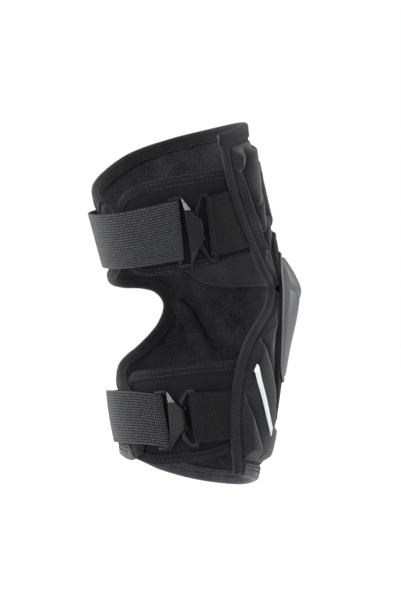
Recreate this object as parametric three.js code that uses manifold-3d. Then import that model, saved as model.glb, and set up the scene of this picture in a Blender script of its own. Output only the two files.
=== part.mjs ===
// A soft knee guard as it sits on a slightly bent knee: a padded sleeve that opens on one side and is
// cut out behind the knee, a moulded knee cap, and two elastic straps whose hook plates catch rings.
// Millimetres. +Z runs up the leg, +X is the way the knee points, -Y is the side that opens.
// The origin is the centre of the knee, on the line of the leg.
// Soft pieces are drawn on the leg in three measures: s, along the leg's line from the knee with the
// thigh positive; angle, in degrees round the leg from the front with the open side negative; and
// depth, out from the sleeve's inner face. Round this leg one degree is close to one millimetre.

import * as THREE from "three";
import { ConvexGeometry } from "three/addons/geometries/ConvexGeometry.js";
import { mergeVertices } from "three/addons/utils/BufferGeometryUtils.js";
import Module from "manifold-3d";

const wasm = await Module();
wasm.setup();

// The leg: two straight lines joined by a bend, with half widths of its section
const THIGH_LEAN = 15;
const SHIN_LEAN = 9;
const BEND_HALF = 55;
const LEG_SECTIONS = [
  { s: -145, front: 51, back: 41, side: 46 },
  { s: -90, front: 54, back: 56, side: 49 },
  { s: -35, front: 53, back: 61, side: 52 },
  { s: 25, front: 50, back: 68, side: 54 },
  { s: 85, front: 48, back: 66, side: 57 },
  { s: 145, front: 56, back: 63, side: 59 },
];

// Depths of the layers
const SLEEVE_WALL = 3;
const PAD_INNER = 3.5;
const PAD_OUTER = 6.4;
const RIB_HEIGHT = 3.6;
const BASE_INNER = 7.1;
const BASE_OUTER = 9.6;
const CAP_SEAT = 10.3;
const CAP_WALL = 3;
const PATCH_INNER = -1.8;
const PATCH_OUTER = -0.8;
const FLAP_INNER = -4.8;
const FLAP_OUTER = -2.2;
const WEBBING_INNER = -1.8;

// Edge tape: its thickness, its clearance to what it wraps, and how far its legs reach in
const TAPE = 1.2;
const TAPE_GAP = 0.4;
const TAPE_REACH = 6;
const HEM_GAP = 0.6;
const HEM_REACH = 9;

// The sleeve's four edges; each runs up the leg, or round it from the open side
const NEAR_EDGE = [
  { s: -126.5, angle: -71 },
  { s: -95, angle: -82 },
  { s: -73, angle: -86 },
  { s: -50, angle: -86 },
  { s: -31, angle: -81 },
  { s: -16, angle: -69 },
  { s: -4, angle: -53 },
  { s: 6, angle: -46 },
  { s: 18, angle: -60 },
  { s: 38, angle: -71 },
  { s: 62, angle: -78 },
  { s: 92, angle: -81 },
  { s: 120.5, angle: -80 },
];
const BACK_EDGE = [
  { s: -122, angle: 196 },
  { s: -105, angle: 202 },
  { s: -86, angle: 197 },
  { s: -73, angle: 176 },
  { s: -57, angle: 147 },
  { s: -37, angle: 115 },
  { s: -17, angle: 97 },
  { s: -2, angle: 93 },
  { s: 8, angle: 99 },
  { s: 13, angle: 111 },
  { s: 16, angle: 131 },
  { s: 23, angle: 156 },
  { s: 36, angle: 182 },
  { s: 55, angle: 192 },
  { s: 73, angle: 191 },
  { s: 88, angle: 183 },
];
const TOP_EDGE = [
  { s: 120.5, angle: -80 },
  { s: 122.4, angle: -15 },
  { s: 121.4, angle: 29 },
  { s: 120.5, angle: 62 },
  { s: 117.5, angle: 96 },
  { s: 110.5, angle: 121 },
  { s: 98.5, angle: 160 },
  { s: 88, angle: 183 },
];
const BOTTOM_EDGE = [
  { s: -126.5, angle: -71 },
  { s: -128.5, angle: -25 },
  { s: -133.5, angle: 12 },
  { s: -134.5, angle: 52 },
  { s: -131.5, angle: 82 },
  { s: -125.5, angle: 112 },
  { s: -122.5, angle: 140 },
  { s: -124.5, angle: 165 },
  { s: -126, angle: 183 },
  { s: -122, angle: 196 },
];
const SLEEVE_COLUMNS = 20;
const SLEEVE_ROWS = 31;
const CORNER_SHARE = 0.028;
const EDGE_SAMPLES = 80;

// The roll of slack cloth inside the far wall, from the cut-out down to the front
const FOLD_LINE = [
  { s: -3, angle: 85, radius: 1.5 },
  { s: -8, angle: 77, radius: 4 },
  { s: -20, angle: 68.5, radius: 5 },
  { s: -31, angle: 62, radius: 5.5 },
  { s: -40, angle: 54, radius: 5 },
  { s: -46, angle: 44, radius: 2 },
];

// Padding ribs: chevrons that point away from the knee. A groove runs where the distance round the
// leg from the front, plus slope times s, is start or any number of pitches more. Each rib climbs to
// its crest over the first share of the pitch
const THIGH_RIBS = { slope: 0.3, pitch: 20, start: 93, climb: 0.5 };
const SHIN_RIBS = { slope: -0.69, pitch: 33.6, start: 82, climb: 0.2 };
const RIB_FADE = { plate: [9.5, 14], side: [0, 6], end: [0, 8], endShare: 0.6 };
const PAD_EDGE_INSET = 7.3;
const PAD_HALF = 80;
const PAD_SPLIT = { shin: 4, thigh: 6 };
const THIGH_PAD_TOP = 110;
const SHIN_PAD_LIFT = 11;
const THIGH_PAD_GRID = [28, 11];
const SHIN_PAD_GRID = [30, 13];

// The plate under the knee cap and the cap: half angles down the leg, and the cap's middle ridge
const BASE_OUTLINE = [
  { s: -84, half: 34 },
  { s: -68, half: 42 },
  { s: -34, half: 52 },
  { s: -8, half: 47 },
  { s: 6, half: 39 },
  { s: 22, half: 48 },
  { s: 36, half: 49 },
  { s: 42, half: 42 },
];
const CAP_OUTLINE = [
  { s: -54, half: 34 },
  { s: -48, half: 45 },
  { s: -34, half: 49 },
  { s: -12, half: 48 },
  { s: 6, half: 43 },
  { s: 20, half: 41 },
  { s: 28, half: 30 },
];
const CAP_RIDGE = [
  { s: -54, depth: 11.4 },
  { s: -33, depth: 14.5 },
  { s: -8, depth: 22.5 },
  { s: 3, depth: 25.5 },
  { s: 12, depth: 22.5 },
  { s: 21, depth: 17 },
  { s: 28, depth: 12 },
];
const CAP_RIM = 11.4;
const CAP_FULLNESS = 2.5;
const BASE_GRID = [10, 9];
const CAP_GRID = [10, 10];

// Reflective stripe on the open side of the shin pad
const STRIPE_WIDTH = 5;
const STRIPE_LIFT = { inner: 0.9, outer: 1.7 };
const STRIPE_STEPS = 14;
const STRIPE_ENDS = [
  { s: -46, angle: -79 },
  { s: -95.5, angle: -43 },
];

// Pinked piece of lining behind the front
const PATCH = { from: -38, to: 78, high: 62, tooth: 1.6, columns: 32, rows: 2 };
const PATCH_LOW = [
  { angle: -38, s: 5.5 },
  { angle: 26, s: 5.5 },
  { angle: 45, s: 6.5 },
  { angle: 62, s: 11 },
  { angle: 78, s: 23 },
];

// Stretch panels behind the closures: a row for each section round the leg
const FLAP_GRID = [18, 4];
const FLAPS = {
  upper: [
    { angle: -60, low: 33, high: 93 },
    { angle: -84, low: 30.5, high: 96 },
    { angle: -114, low: 27, high: 99 },
    { angle: -138, low: 26, high: 100 },
    { angle: -152, low: 26.5, high: 98.5 },
    { angle: -162, low: 30.5, high: 94 },
    { angle: -169, low: 39, high: 87 },
    { angle: -173, low: 52, high: 74 },
  ],
  lower: [
    { angle: -74, low: -109.5, high: -42 },
    { angle: -92, low: -117, high: -45 },
    { angle: -115, low: -123, high: -50 },
    { angle: -147, low: -128, high: -58 },
    { angle: -166, low: -127, high: -61 },
    { angle: -182, low: -123, high: -65 },
    { angle: -189, low: -113, high: -76 },
  ],
};

// The two closures: where each sits, how far it is turned, and its webbing
const CLOSURES = {
  upper: { s: 59, angle: -113, turn: -4, strapWidth: 46, webbingWidth: 44, webbingRise: 0 },
  lower: { s: -93, angle: -127, turn: 12, strapWidth: 37.5, webbingWidth: 36, webbingRise: 6 },
};
const BAND = 1.5;
const WEBBING_GRID = [5, 3];
const WEBBING_OUTER = { eye: 4.6, sewn: 1.2 };
const WEBBING_EDGE_GAP = 1.4;
const CLOSURE_DEGREE = 1.06;

// Hook plate, ring and bars in a closure's own frame: x to the front, y up the leg, z out
const BAR_LEVEL = 1.4;
const RING = { front: 13, rear: 3.7, bar: 2.4, overhang: 0.7, rearHalf: 12, straight: 4.2 };
const RING_EYE = { hole: 2.1, outer: 3.3 };
const BUCKLE_BAR = { x: -13.5, radius: 1.3 };
const BUCKLE_EYE = { hole: 1.7, outer: 3.1 };
const SIDES = { eye: 14, hole: 12, bar: 10, roll: 8 };
const RAIL = { width: 2.4, gap: 0.5, low: 0.2, high: 4.2, pastBar: 1.7 };
const PLATE = { apex: 7.5, apexHalf: 7, back: -6.5, under: 3.1, crest: 7.6, end: 4.4, crestShare: 0.4 };
const PLATE_BEVEL = { front: 1.6, rear: 1, end: 0.6 };
const PLATE_SEAT = 1;
const HOOK = { half: 9, wall: [5.3, 7.3], lip: [2.6, 7.3], low: -1.6, lipTop: -0.2 };

// Straps: depth of the lower and the upper edge round the back, and the rise of the middle line
const STRAPS = {
  upper: [
    { angle: -126, low: 5.4, high: 5.4, s: 58.5 },
    { angle: -142, low: 6, high: 6.4, s: 59.5 },
    { angle: -160, low: 6.2, high: 7.8, s: 60 },
    { angle: -178, low: 6.5, high: 9, s: 61 },
    { angle: -197, low: 6.5, high: 9.6, s: 62 },
    { angle: -212, low: 6, high: 8.6, s: 62 },
    { angle: -225, low: 5, high: 6.4, s: 61.5 },
    { angle: -236, low: 4.1, high: 4.1, s: 61 },
    { angle: -250, low: 4.1, high: 4.1, s: 60.5 },
  ],
  lower: [
    { angle: -141, low: 5.4, high: 5.4, s: -94.5 },
    { angle: -154, low: 6, high: 6.8, s: -96 },
    { angle: -168, low: 6.5, high: 8.6, s: -97 },
    { angle: -184, low: 7, high: 10.6, s: -97 },
    { angle: -200, low: 7, high: 11.4, s: -97 },
    { angle: -213, low: 6.2, high: 9.4, s: -96.5 },
    { angle: -226, low: 5, high: 6.2, s: -94.5 },
    { angle: -237, low: 4.1, high: 4.1, s: -93.5 },
    { angle: -249, low: 4.1, high: 4.1, s: -93 },
  ],
};
const STRAP_STEPS = 20;
const STRAP_SQUARE_UP = 0.4;

const WELD = 1e-4;

const FABRIC = { roughness: 0.95, metalness: 0 };
const PLASTIC = { roughness: 0.4, metalness: 0 };
const MATERIALS = {
  neoprene: { color: 0x1b1b1d, ...FABRIC },
  padding: { color: 0x202022, ...FABRIC },
  tape: { color: 0x2a2a2c, ...FABRIC },
  lining: { color: 0x161618, ...FABRIC },
  elastic: { color: 0x262629, ...FABRIC },
  flexiblePlate: { color: 0x18181a, roughness: 0.7, metalness: 0 },
  capPlastic: { color: 0x5c5d60, ...PLASTIC },
  bucklePlastic: { color: 0x141416, ...PLASTIC },
  reflective: { color: 0xd4d6d8, roughness: 0.35, metalness: 0 },
};

const { degToRad, clamp, lerp, smoothstep, euclideanModulo } = THREE.MathUtils;

// A table's column as a smooth function of its key column
function column(rows, key, name) {
  const sorted = [...rows].sort((a, b) => a[key] - b[key]);
  const last = sorted.length - 1;
  const slopeAt = (i) => {
    const before = sorted[Math.max(i - 1, 0)];
    const after = sorted[Math.min(i + 1, last)];
    return (after[name] - before[name]) / (after[key] - before[key]);
  };
  return (x) => {
    const at = clamp(x, sorted[0][key], sorted[last][key]);
    const i = clamp(sorted.findIndex((row) => row[key] >= at) - 1, 0, last - 1);
    const step = sorted[i + 1][key] - sorted[i][key];
    const t = (at - sorted[i][key]) / step;
    const rise = t * t * (3 - 2 * t);
    const leave = t * (1 - t) * (1 - t) * step * slopeAt(i);
    const arrive = t * t * (t - 1) * step * slopeAt(i + 1);
    return lerp(sorted[i][name], sorted[i + 1][name], rise) + leave + arrive;
  };
}

const front = column(LEG_SECTIONS, "s", "front");
const back = column(LEG_SECTIONS, "s", "back");
const side = column(LEG_SECTIONS, "s", "side");

// The leg's line: an arc at the knee and a straight line at each end of it
function legLine(s) {
  const bend = degToRad(THIGH_LEAN + SHIN_LEAN) / (2 * BEND_HALF);
  const middleLean = degToRad(THIGH_LEAN - SHIN_LEAN) / 2;
  const onArc = clamp(s, -BEND_HALF, BEND_HALF);
  const beyond = s - onArc;
  const lean = middleLean + bend * onArc;
  return {
    x: (Math.cos(lean) - Math.cos(middleLean)) / bend - beyond * Math.sin(lean),
    z: (Math.sin(lean) - Math.sin(middleLean)) / bend + beyond * Math.cos(lean),
    lean,
  };
}

function legPoint(s, angle, depth) {
  const turn = degToRad(angle);
  const { x, z, lean } = legLine(s);
  const half = Math.cos(turn) > 0 ? front(s) : back(s);
  const forward = (half + depth) * Math.cos(turn);
  const across = (side(s) + depth) * Math.sin(turn);
  return new THREE.Vector3(x + forward * Math.cos(lean), across, z + forward * Math.sin(lean));
}

// A closed geometry from its points and triangles, turned so that its faces point out
function closedGeometry(points, triangles) {
  let volume = 0;
  for (const [a, b, c] of triangles) {
    volume += points[a].dot(points[b].clone().cross(points[c]));
  }
  const outward = volume > 0 ? triangles : triangles.map(([a, b, c]) => [a, c, b]);
  const geometry = new THREE.BufferGeometry().setFromPoints(points);
  geometry.setIndex(outward.flat());
  return geometry;
}

// A wall with two faces over a grid: place gives a point for u and v from 0 to 1 and a face, 0 or 1
function gridWall(columns, rows, place) {
  const points = [];
  const triangles = [];
  const size = (columns + 1) * (rows + 1);
  const index = (i, j, face) => face * size + j * (columns + 1) + i;
  const quad = (a, b, c, d) => triangles.push([a, b, c], [a, c, d]);
  for (const face of [0, 1]) {
    for (let j = 0; j <= rows; j++) {
      for (let i = 0; i <= columns; i++) {
        points.push(place(i / columns, j / rows, face));
      }
    }
  }
  for (let j = 0; j < rows; j++) {
    for (let i = 0; i < columns; i++) {
      quad(index(i, j, 1), index(i + 1, j, 1), index(i + 1, j + 1, 1), index(i, j + 1, 1));
      quad(index(i, j, 0), index(i, j + 1, 0), index(i + 1, j + 1, 0), index(i + 1, j, 0));
    }
    quad(index(0, j, 0), index(0, j, 1), index(0, j + 1, 1), index(0, j + 1, 0));
    quad(index(columns, j, 0), index(columns, j + 1, 0), index(columns, j + 1, 1), index(columns, j, 1));
  }
  for (let i = 0; i < columns; i++) {
    quad(index(i, 0, 0), index(i + 1, 0, 0), index(i + 1, 0, 1), index(i, 0, 1));
    quad(index(i, rows, 0), index(i, rows, 1), index(i + 1, rows, 1), index(i + 1, rows, 0));
  }
  return closedGeometry(points, triangles);
}

// The place across millimetres from station i, along the leg's surface to the side that inside picks
function besideStation(stations, i, inside, across) {
  const { s, angle } = stations[i];
  const before = stations[Math.max(i - 1, 0)];
  const after = stations[Math.min(i + 1, stations.length - 1)];
  const degree = degToRad(1) * side(s);
  const along = new THREE.Vector2(after.s - before.s, (after.angle - before.angle) * degree).normalize();
  const shift = across * inside;
  return { s: s - along.y * shift, angle: angle + (along.x * shift) / degree };
}

// A profile carried along stations drawn on the leg; profileAt gives [across, depth] pairs
function sweepOnLeg(stations, inside, profileAt) {
  const last = stations.length - 1;
  const points = stations.flatMap((_, i) => profileAt(i).map(([across, depth]) => {
    const { s, angle } = besideStation(stations, i, inside, across);
    return legPoint(s, angle, depth);
  }));
  const outline = profileAt(0).map(([across, depth]) => new THREE.Vector2(across, depth));
  const count = outline.length;
  const triangles = [];
  for (let i = 0; i < last; i++) {
    for (let k = 0; k < count; k++) {
      const next = (k + 1) % count;
      const [a, b] = [i * count + k, i * count + next];
      triangles.push([a, b, b + count], [a, b + count, a + count]);
    }
  }
  const clockwise = THREE.ShapeUtils.isClockWise(outline);
  for (const [a, b, c] of THREE.ShapeUtils.triangulateShape(outline, [])) {
    const [p, q] = clockwise ? [b, c] : [c, b];
    triangles.push([a, p, q], [last * count + a, last * count + q, last * count + p]);
  }
  return closedGeometry(points, triangles);
}

function edgeCurve(rows) {
  return new THREE.CatmullRomCurve3(rows.map(({ s, angle }) => new THREE.Vector3(s, angle, 0)));
}

// Places on an edge at shares of its length from 0 to 1
function stationsOf(curve, shares) {
  return shares.map((share) => {
    const { x, y } = curve.getPointAt(share);
    return { s: x, angle: y };
  });
}

function evenShares(count) {
  return Array.from({ length: count + 1 }, (_, i) => i / count);
}

// Shares round the sleeve: a narrow column at each end, where the tapes of two edges meet
function columnShares() {
  const inner = evenShares(SLEEVE_COLUMNS - 2).map((share) => lerp(CORNER_SHARE, 1 - CORNER_SHARE, share));
  return [0, ...inner, 1];
}

// A solid for joining and cutting, with its coincident corners made one
function solid(geometry) {
  const bare = geometry.clone();
  bare.deleteAttribute("normal");
  bare.deleteAttribute("uv");
  const merged = mergeVertices(bare, WELD);
  const vertProperties = new Float32Array(merged.attributes.position.array);
  const triVerts = new Uint32Array(merged.index.array);
  return new wasm.Manifold(new wasm.Mesh({ numProp: 3, vertProperties, triVerts }));
}

function geometryOf(manifold) {
  const { vertProperties, triVerts } = manifold.getMesh();
  const geometry = new THREE.BufferGeometry();
  geometry.setAttribute("position", new THREE.Float32BufferAttribute(vertProperties, 3));
  geometry.setIndex([...triVerts]);
  return geometry;
}

function unite(geometries) {
  return geometries.map(solid).reduce((whole, piece) => whole.add(piece));
}

function box(x, y, z) {
  const geometry = new THREE.BoxGeometry(x[1] - x[0], y[1] - y[0], z[1] - z[0]);
  return geometry.translate((x[0] + x[1]) / 2, (y[0] + y[1]) / 2, (z[0] + z[1]) / 2);
}

// A rod along y
function rod(x, z, radius, length, sides) {
  return new THREE.CylinderGeometry(radius, radius, length, sides).translate(x, 0, z);
}

const edges = {
  near: edgeCurve(NEAR_EDGE),
  back: edgeCurve(BACK_EDGE),
  top: edgeCurve(TOP_EDGE),
  bottom: edgeCurve(BOTTOM_EDGE),
};
const nearLine = stationsOf(edges.near, evenShares(EDGE_SAMPLES));
const nearEdgeAngle = column(nearLine, "s", "angle");
const padSide = column(nearLine.map((_, i) => besideStation(nearLine, i, 1, PAD_EDGE_INSET)), "s", "angle");
const bottomEdge = column(stationsOf(edges.bottom, evenShares(EDGE_SAMPLES)), "angle", "s");

// Stations along the four edges, shared by the sleeve and its tapes
const stations = {
  near: stationsOf(edges.near, evenShares(SLEEVE_ROWS)),
  back: stationsOf(edges.back, evenShares(SLEEVE_ROWS)),
  top: stationsOf(edges.top, columnShares()),
  bottom: stationsOf(edges.bottom, columnShares()),
};

// A line inside the near or the back edge, at the tape's reach
function insideLine(name, inside, cornerColumn) {
  return stations[name].map((_, j) => {
    if (j === 0) return stations.bottom[cornerColumn];
    if (j === SLEEVE_ROWS) return stations.top[cornerColumn];
    return besideStation(stations[name], j, inside, TAPE_REACH);
  });
}

// The sleeve's wall: a strip under the tape at each side, and between them a blend of four lines
function sleeveWall() {
  const last = SLEEVE_COLUMNS - 1;
  const left = insideLine("near", 1, 1);
  const right = insideLine("back", -1, last);
  const placeAt = (i, j) => {
    if (i === 0) return stations.near[j];
    if (i > last) return stations.back[j];
    const [u, v] = [(i - 1) / (last - 1), j / SLEEVE_ROWS];
    const blend = (name) => {
      const up = lerp(stations.bottom[i][name], stations.top[i][name], v);
      const round = lerp(left[j][name], right[j][name], u);
      const low = lerp(left[0][name], right[0][name], u);
      const high = lerp(left[SLEEVE_ROWS][name], right[SLEEVE_ROWS][name], u);
      return up + round - lerp(low, high, v);
    };
    return { s: blend("s"), angle: blend("angle") };
  };
  return gridWall(SLEEVE_COLUMNS, SLEEVE_ROWS, (u, v, face) => {
    const { s, angle } = placeAt(Math.round(u * SLEEVE_COLUMNS), Math.round(v * SLEEVE_ROWS));
    return legPoint(s, angle, face * SLEEVE_WALL);
  });
}

// The wall with the roll of slack cloth that stands in from it
function sleeve() {
  return geometryOf(unite([sleeveWall(), slackFold()]));
}

// The roll stands in from the wall by its radius and is sunk in it by a third of the wall
function slackFold() {
  const sunk = SLEEVE_WALL / 3;
  return sweepOnLeg(FOLD_LINE, 1, (i) => {
    const { radius } = FOLD_LINE[i];
    return evenShares(SIDES.roll).slice(1).map((share) => {
      const turn = 2 * Math.PI * share;
      return [radius * Math.cos(turn), sunk - ((radius + sunk) / 2) * (1 + Math.sin(turn))];
    });
  });
}

// Tape folded over an edge: two legs that lie on both faces of the sleeve, joined past its edge
function edgeTape(line, inside, reach, gap) {
  const [low, high] = [-gap, SLEEVE_WALL + gap];
  const profile = [
    [-gap - TAPE, low - TAPE],
    [reach, low - TAPE],
    [reach, low],
    [-gap, low],
    [-gap, high],
    [reach, high],
    [reach, high + TAPE],
    [-gap - TAPE, high + TAPE],
  ];
  return sweepOnLeg(line, inside, () => profile);
}

const baseHalf = column(BASE_OUTLINE, "s", "half");

// Height of the ribs at a place, fading out under the cap's plate and at the pad's edges
function ribHeight({ slope, pitch, start, climb }, s, angle) {
  const across = Math.abs(angle) * degToRad(1) * side(s);
  const share = euclideanModulo((across + slope * s - start) / pitch, 1);
  const fall = (share - climb) / (1 - climb);
  const crown = share < climb ? Math.sin((Math.PI / 2) * (share / climb)) : 1 - fall * fall;
  const [lowest, highest] = [BASE_OUTLINE[0].s, BASE_OUTLINE.at(-1).s];
  const pastEnds = RIB_FADE.endShare * Math.max(lowest - s, s - highest);
  const pastPlate = Math.max(Math.abs(angle) - baseHalf(s), pastEnds);
  const fromSide = Math.abs(padSide(s)) - Math.abs(angle);
  const fromEnds = Math.min(THIGH_PAD_TOP - s, s - bottomEdge(angle) - SHIN_PAD_LIFT);
  const offPlate = smoothstep(pastPlate, ...RIB_FADE.plate);
  const offSide = smoothstep(fromSide, ...RIB_FADE.side);
  return RIB_HEIGHT * crown * offPlate * offSide * smoothstep(fromEnds, ...RIB_FADE.end);
}

// A ribbed pad on the sleeve's front
function pad(ribs, [columns, rows], lowAt, high) {
  return gridWall(columns, rows, (u, v, face) => {
    const share = 2 * u - 1;
    const s = lerp(lowAt(share * PAD_HALF), high, v);
    const angle = share * Math.abs(padSide(s));
    return legPoint(s, angle, face ? PAD_OUTER + ribHeight(ribs, s, angle) : PAD_INNER);
  });
}

function thighPad() {
  return pad(THIGH_RIBS, THIGH_PAD_GRID, () => PAD_SPLIT.thigh, THIGH_PAD_TOP);
}

function shinPad() {
  return pad(SHIN_RIBS, SHIN_PAD_GRID, (angle) => bottomEdge(angle) + SHIN_PAD_LIFT, PAD_SPLIT.shin);
}

function capBase() {
  const [low, high] = [BASE_OUTLINE[0].s, BASE_OUTLINE.at(-1).s];
  return gridWall(...BASE_GRID, (u, v, face) => {
    const s = lerp(low, high, v);
    return legPoint(s, (2 * u - 1) * baseHalf(s), face ? BASE_OUTER : BASE_INNER);
  });
}

function kneeCap() {
  const half = column(CAP_OUTLINE, "s", "half");
  const ridge = column(CAP_RIDGE, "s", "depth");
  const [low, high] = [CAP_OUTLINE[0].s, CAP_OUTLINE.at(-1).s];
  return gridWall(...CAP_GRID, (u, v, face) => {
    const s = lerp(low, high, v);
    const share = 2 * u - 1;
    const outer = lerp(CAP_RIM, ridge(s), 1 - Math.pow(Math.abs(share), CAP_FULLNESS));
    return legPoint(s, share * half(s), face ? outer : Math.max(CAP_SEAT, outer - CAP_WALL));
  });
}

function reflectiveStripe() {
  const [from, to] = STRIPE_ENDS;
  return gridWall(STRIPE_STEPS, 1, (u, v, face) => {
    const s = lerp(from.s, to.s, u) + (v - 0.5) * STRIPE_WIDTH * Math.SQRT1_2;
    const angle = lerp(from.angle, to.angle, u) + (v - 0.5) * STRIPE_WIDTH * Math.SQRT1_2;
    const seat = PAD_OUTER + ribHeight(SHIN_RIBS, s, angle);
    return legPoint(s, angle, seat + (face ? STRIPE_LIFT.outer : STRIPE_LIFT.inner));
  });
}

function liningPatch() {
  const low = column(PATCH_LOW, "angle", "s");
  return gridWall(PATCH.columns, PATCH.rows, (u, v, face) => {
    const angle = lerp(PATCH.from, PATCH.to, u);
    const tooth = PATCH.tooth * (Math.round(u * PATCH.columns) % 2);
    const s = lerp(low(angle) + tooth, PATCH.high, v);
    return legPoint(s, angle, face ? PATCH_OUTER : PATCH_INNER);
  });
}

function flap(rows) {
  const low = column(rows, "angle", "low");
  const high = column(rows, "angle", "high");
  return gridWall(...FLAP_GRID, (u, v, face) => {
    const angle = lerp(rows[0].angle, rows.at(-1).angle, u);
    return legPoint(lerp(low(angle), high(angle), v), angle, face ? FLAP_OUTER : FLAP_INNER);
  });
}

// A closure's own frame on the leg, and the place on the leg under a point of that frame
function closureFrame({ s, angle, turn }) {
  const out = legPoint(s, angle, 0.5).sub(legPoint(s, angle, -0.5));
  const round = legPoint(s, angle + 1, 0).sub(legPoint(s, angle - 1, 0)).normalize();
  const up = legPoint(s + 1, angle, 0).sub(legPoint(s - 1, angle, 0));
  up.addScaledVector(round, -up.dot(round)).normalize();
  out.crossVectors(round, up);
  const matrix = new THREE.Matrix4().makeBasis(round, up, out).setPosition(legPoint(s, angle, 0));
  return matrix.multiply(new THREE.Matrix4().makeRotationZ(degToRad(turn)));
}

function underClosure({ s, angle, turn }, x, y) {
  const [cos, sin] = [Math.cos(degToRad(turn)), Math.sin(degToRad(turn))];
  const degree = degToRad(1) * side(s) * CLOSURE_DEGREE;
  return { s: s + x * sin + y * cos, angle: angle + (x * cos - y * sin) / degree };
}

// Webbing sewn on the flap: a wedge that opens into an eye round the ring's front bar
function webbing(closure) {
  const half = closure.webbingWidth / 2;
  const wedge = gridWall(...WEBBING_GRID, (u, v, face) => {
    const y = lerp(-half, half, v);
    const eye = underClosure(closure, RING.front, y);
    const edge = { s: eye.s + closure.webbingRise, angle: 0 };
    edge.angle = nearEdgeAngle(edge.s) - TAPE - TAPE_GAP - WEBBING_EDGE_GAP;
    const outer = lerp(WEBBING_OUTER.eye, WEBBING_OUTER.sewn, Math.sqrt(u));
    return legPoint(lerp(eye.s, edge.s, u), lerp(eye.angle, edge.angle, u), face ? outer : WEBBING_INNER);
  });
  return withEye(wedge, closure, RING.front, RING_EYE, closure.webbingWidth);
}

// A band joined to a round eye for a bar, with the bar's hole left open
function withEye(band, closure, x, { outer, hole }, width) {
  const frame = closureFrame(closure);
  const eye = rod(x, BAR_LEVEL, outer, width, SIDES.eye).applyMatrix4(frame);
  const bore = rod(x, BAR_LEVEL, hole, 2 * width, SIDES.hole).applyMatrix4(frame);
  return geometryOf(unite([band, eye]).subtract(solid(bore)));
}

// Elastic strap: a band that stands off the back, wider at its upper edge, with an eye round a bar
function strap(closure, rows) {
  const half = closure.strapWidth / 2;
  const middle = column(rows, "angle", "s");
  const lowDepth = column(rows, "angle", "low");
  const highDepth = column(rows, "angle", "high");
  const band = gridWall(STRAP_STEPS, 2, (u, v, face) => {
    const y = lerp(-half, half, v);
    const bar = underClosure(closure, BUCKLE_BAR.x, y);
    const path = lerp(rows[0].angle, rows.at(-1).angle, u);
    const squareUp = smoothstep(u, 0, STRAP_SQUARE_UP);
    const angle = path + lerp(bar.angle - rows[0].angle, 0, squareUp);
    const s = lerp(bar.s, middle(path) + y, squareUp);
    const depth = lerp(lowDepth(path), highDepth(path), v);
    return legPoint(s, angle, depth + (face - 0.5) * BAND);
  });
  return withEye(band, closure, BUCKLE_BAR.x, BUCKLE_EYE, closure.strapWidth);
}

// Flat ring: a long front bar in the webbing's eye and a short rear bar for the hook
function ring({ webbingWidth }) {
  const frontHalf = webbingWidth / 2 + RING.overhang;
  const kink = RING.front - RING.straight;
  const loop = (shift, grow) => {
    const half = [
      new THREE.Vector2(RING.front + shift, frontHalf + grow),
      new THREE.Vector2(kink, frontHalf + grow),
      new THREE.Vector2(RING.rear - shift, RING.rearHalf + grow),
    ];
    const mirrored = half.map(({ x, y }) => new THREE.Vector2(x, -y)).reverse();
    return [...half, ...mirrored];
  };
  const shape = new THREE.Shape(loop(RING.bar / 2, RING.bar));
  shape.holes.push(new THREE.Path(loop(-RING.bar / 2, 0)));
  const geometry = new THREE.ExtrudeGeometry(shape, { depth: RING.bar, bevelEnabled: false });
  return geometry.translate(0, 0, BAR_LEVEL - RING.bar / 2);
}

// Hook plate: a faceted wedge with a hook under its narrow end and a bar between two rails behind
function buckle({ strapWidth }) {
  const inner = strapWidth / 2 + RAIL.gap;
  const half = inner + RAIL.width;
  const { apex, apexHalf, back: rear, under, crest, end, crestShare } = PLATE;
  const bevel = PLATE_BEVEL;
  const corners = [];
  for (const sign of [-1, 1]) {
    corners.push(
      new THREE.Vector3(apex, sign * apexHalf, under),
      new THREE.Vector3(rear, sign * half, under),
      new THREE.Vector3(rear, sign * half, end - bevel.end),
      new THREE.Vector3(rear + bevel.rear, sign * (half - bevel.front), end),
      new THREE.Vector3(apex, sign * apexHalf, crest - bevel.front),
      new THREE.Vector3(apex - bevel.front, sign * (apexHalf - bevel.end), crest),
      new THREE.Vector3(rear + bevel.rear, sign * half * crestShare, crest),
    );
  }
  const pieces = [
    new ConvexGeometry(corners),
    rod(BUCKLE_BAR.x, BAR_LEVEL, BUCKLE_BAR.radius, 2 * half - RAIL.width, SIDES.bar),
    box(HOOK.wall, [-HOOK.half, HOOK.half], [HOOK.low, under + PLATE_SEAT]),
    box(HOOK.lip, [-HOOK.half, HOOK.half], [HOOK.low, HOOK.lipTop]),
  ];
  const railX = [BUCKLE_BAR.x - RAIL.pastBar, rear + PLATE_SEAT];
  for (const y of [[-half, -inner], [inner, half]]) {
    pieces.push(box(railX, y, [RAIL.low, RAIL.high]));
  }
  return geometryOf(unite(pieces));
}

const kneeGuard = new THREE.Group();

function addPiece(parent, name, geometry, look) {
  const mesh = new THREE.Mesh(geometry, new THREE.MeshStandardMaterial(look));
  mesh.name = name;
  parent.add(mesh);
}

addPiece(kneeGuard, "sleeve", sleeve(), MATERIALS.neoprene);
addPiece(kneeGuard, "thigh_pad", thighPad(), MATERIALS.padding);
addPiece(kneeGuard, "shin_pad", shinPad(), MATERIALS.padding);

const hems = { top: stations.top.slice(1, -1), bottom: stations.bottom.slice(1, -1) };
addPiece(kneeGuard, "near_binding", edgeTape(stations.near, 1, TAPE_REACH, TAPE_GAP), MATERIALS.tape);
addPiece(kneeGuard, "back_binding", edgeTape(stations.back, -1, TAPE_REACH, TAPE_GAP), MATERIALS.tape);
addPiece(kneeGuard, "top_hem", edgeTape(hems.top, 1, HEM_REACH, HEM_GAP), MATERIALS.tape);
addPiece(kneeGuard, "bottom_hem", edgeTape(hems.bottom, -1, HEM_REACH, HEM_GAP), MATERIALS.tape);

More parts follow.
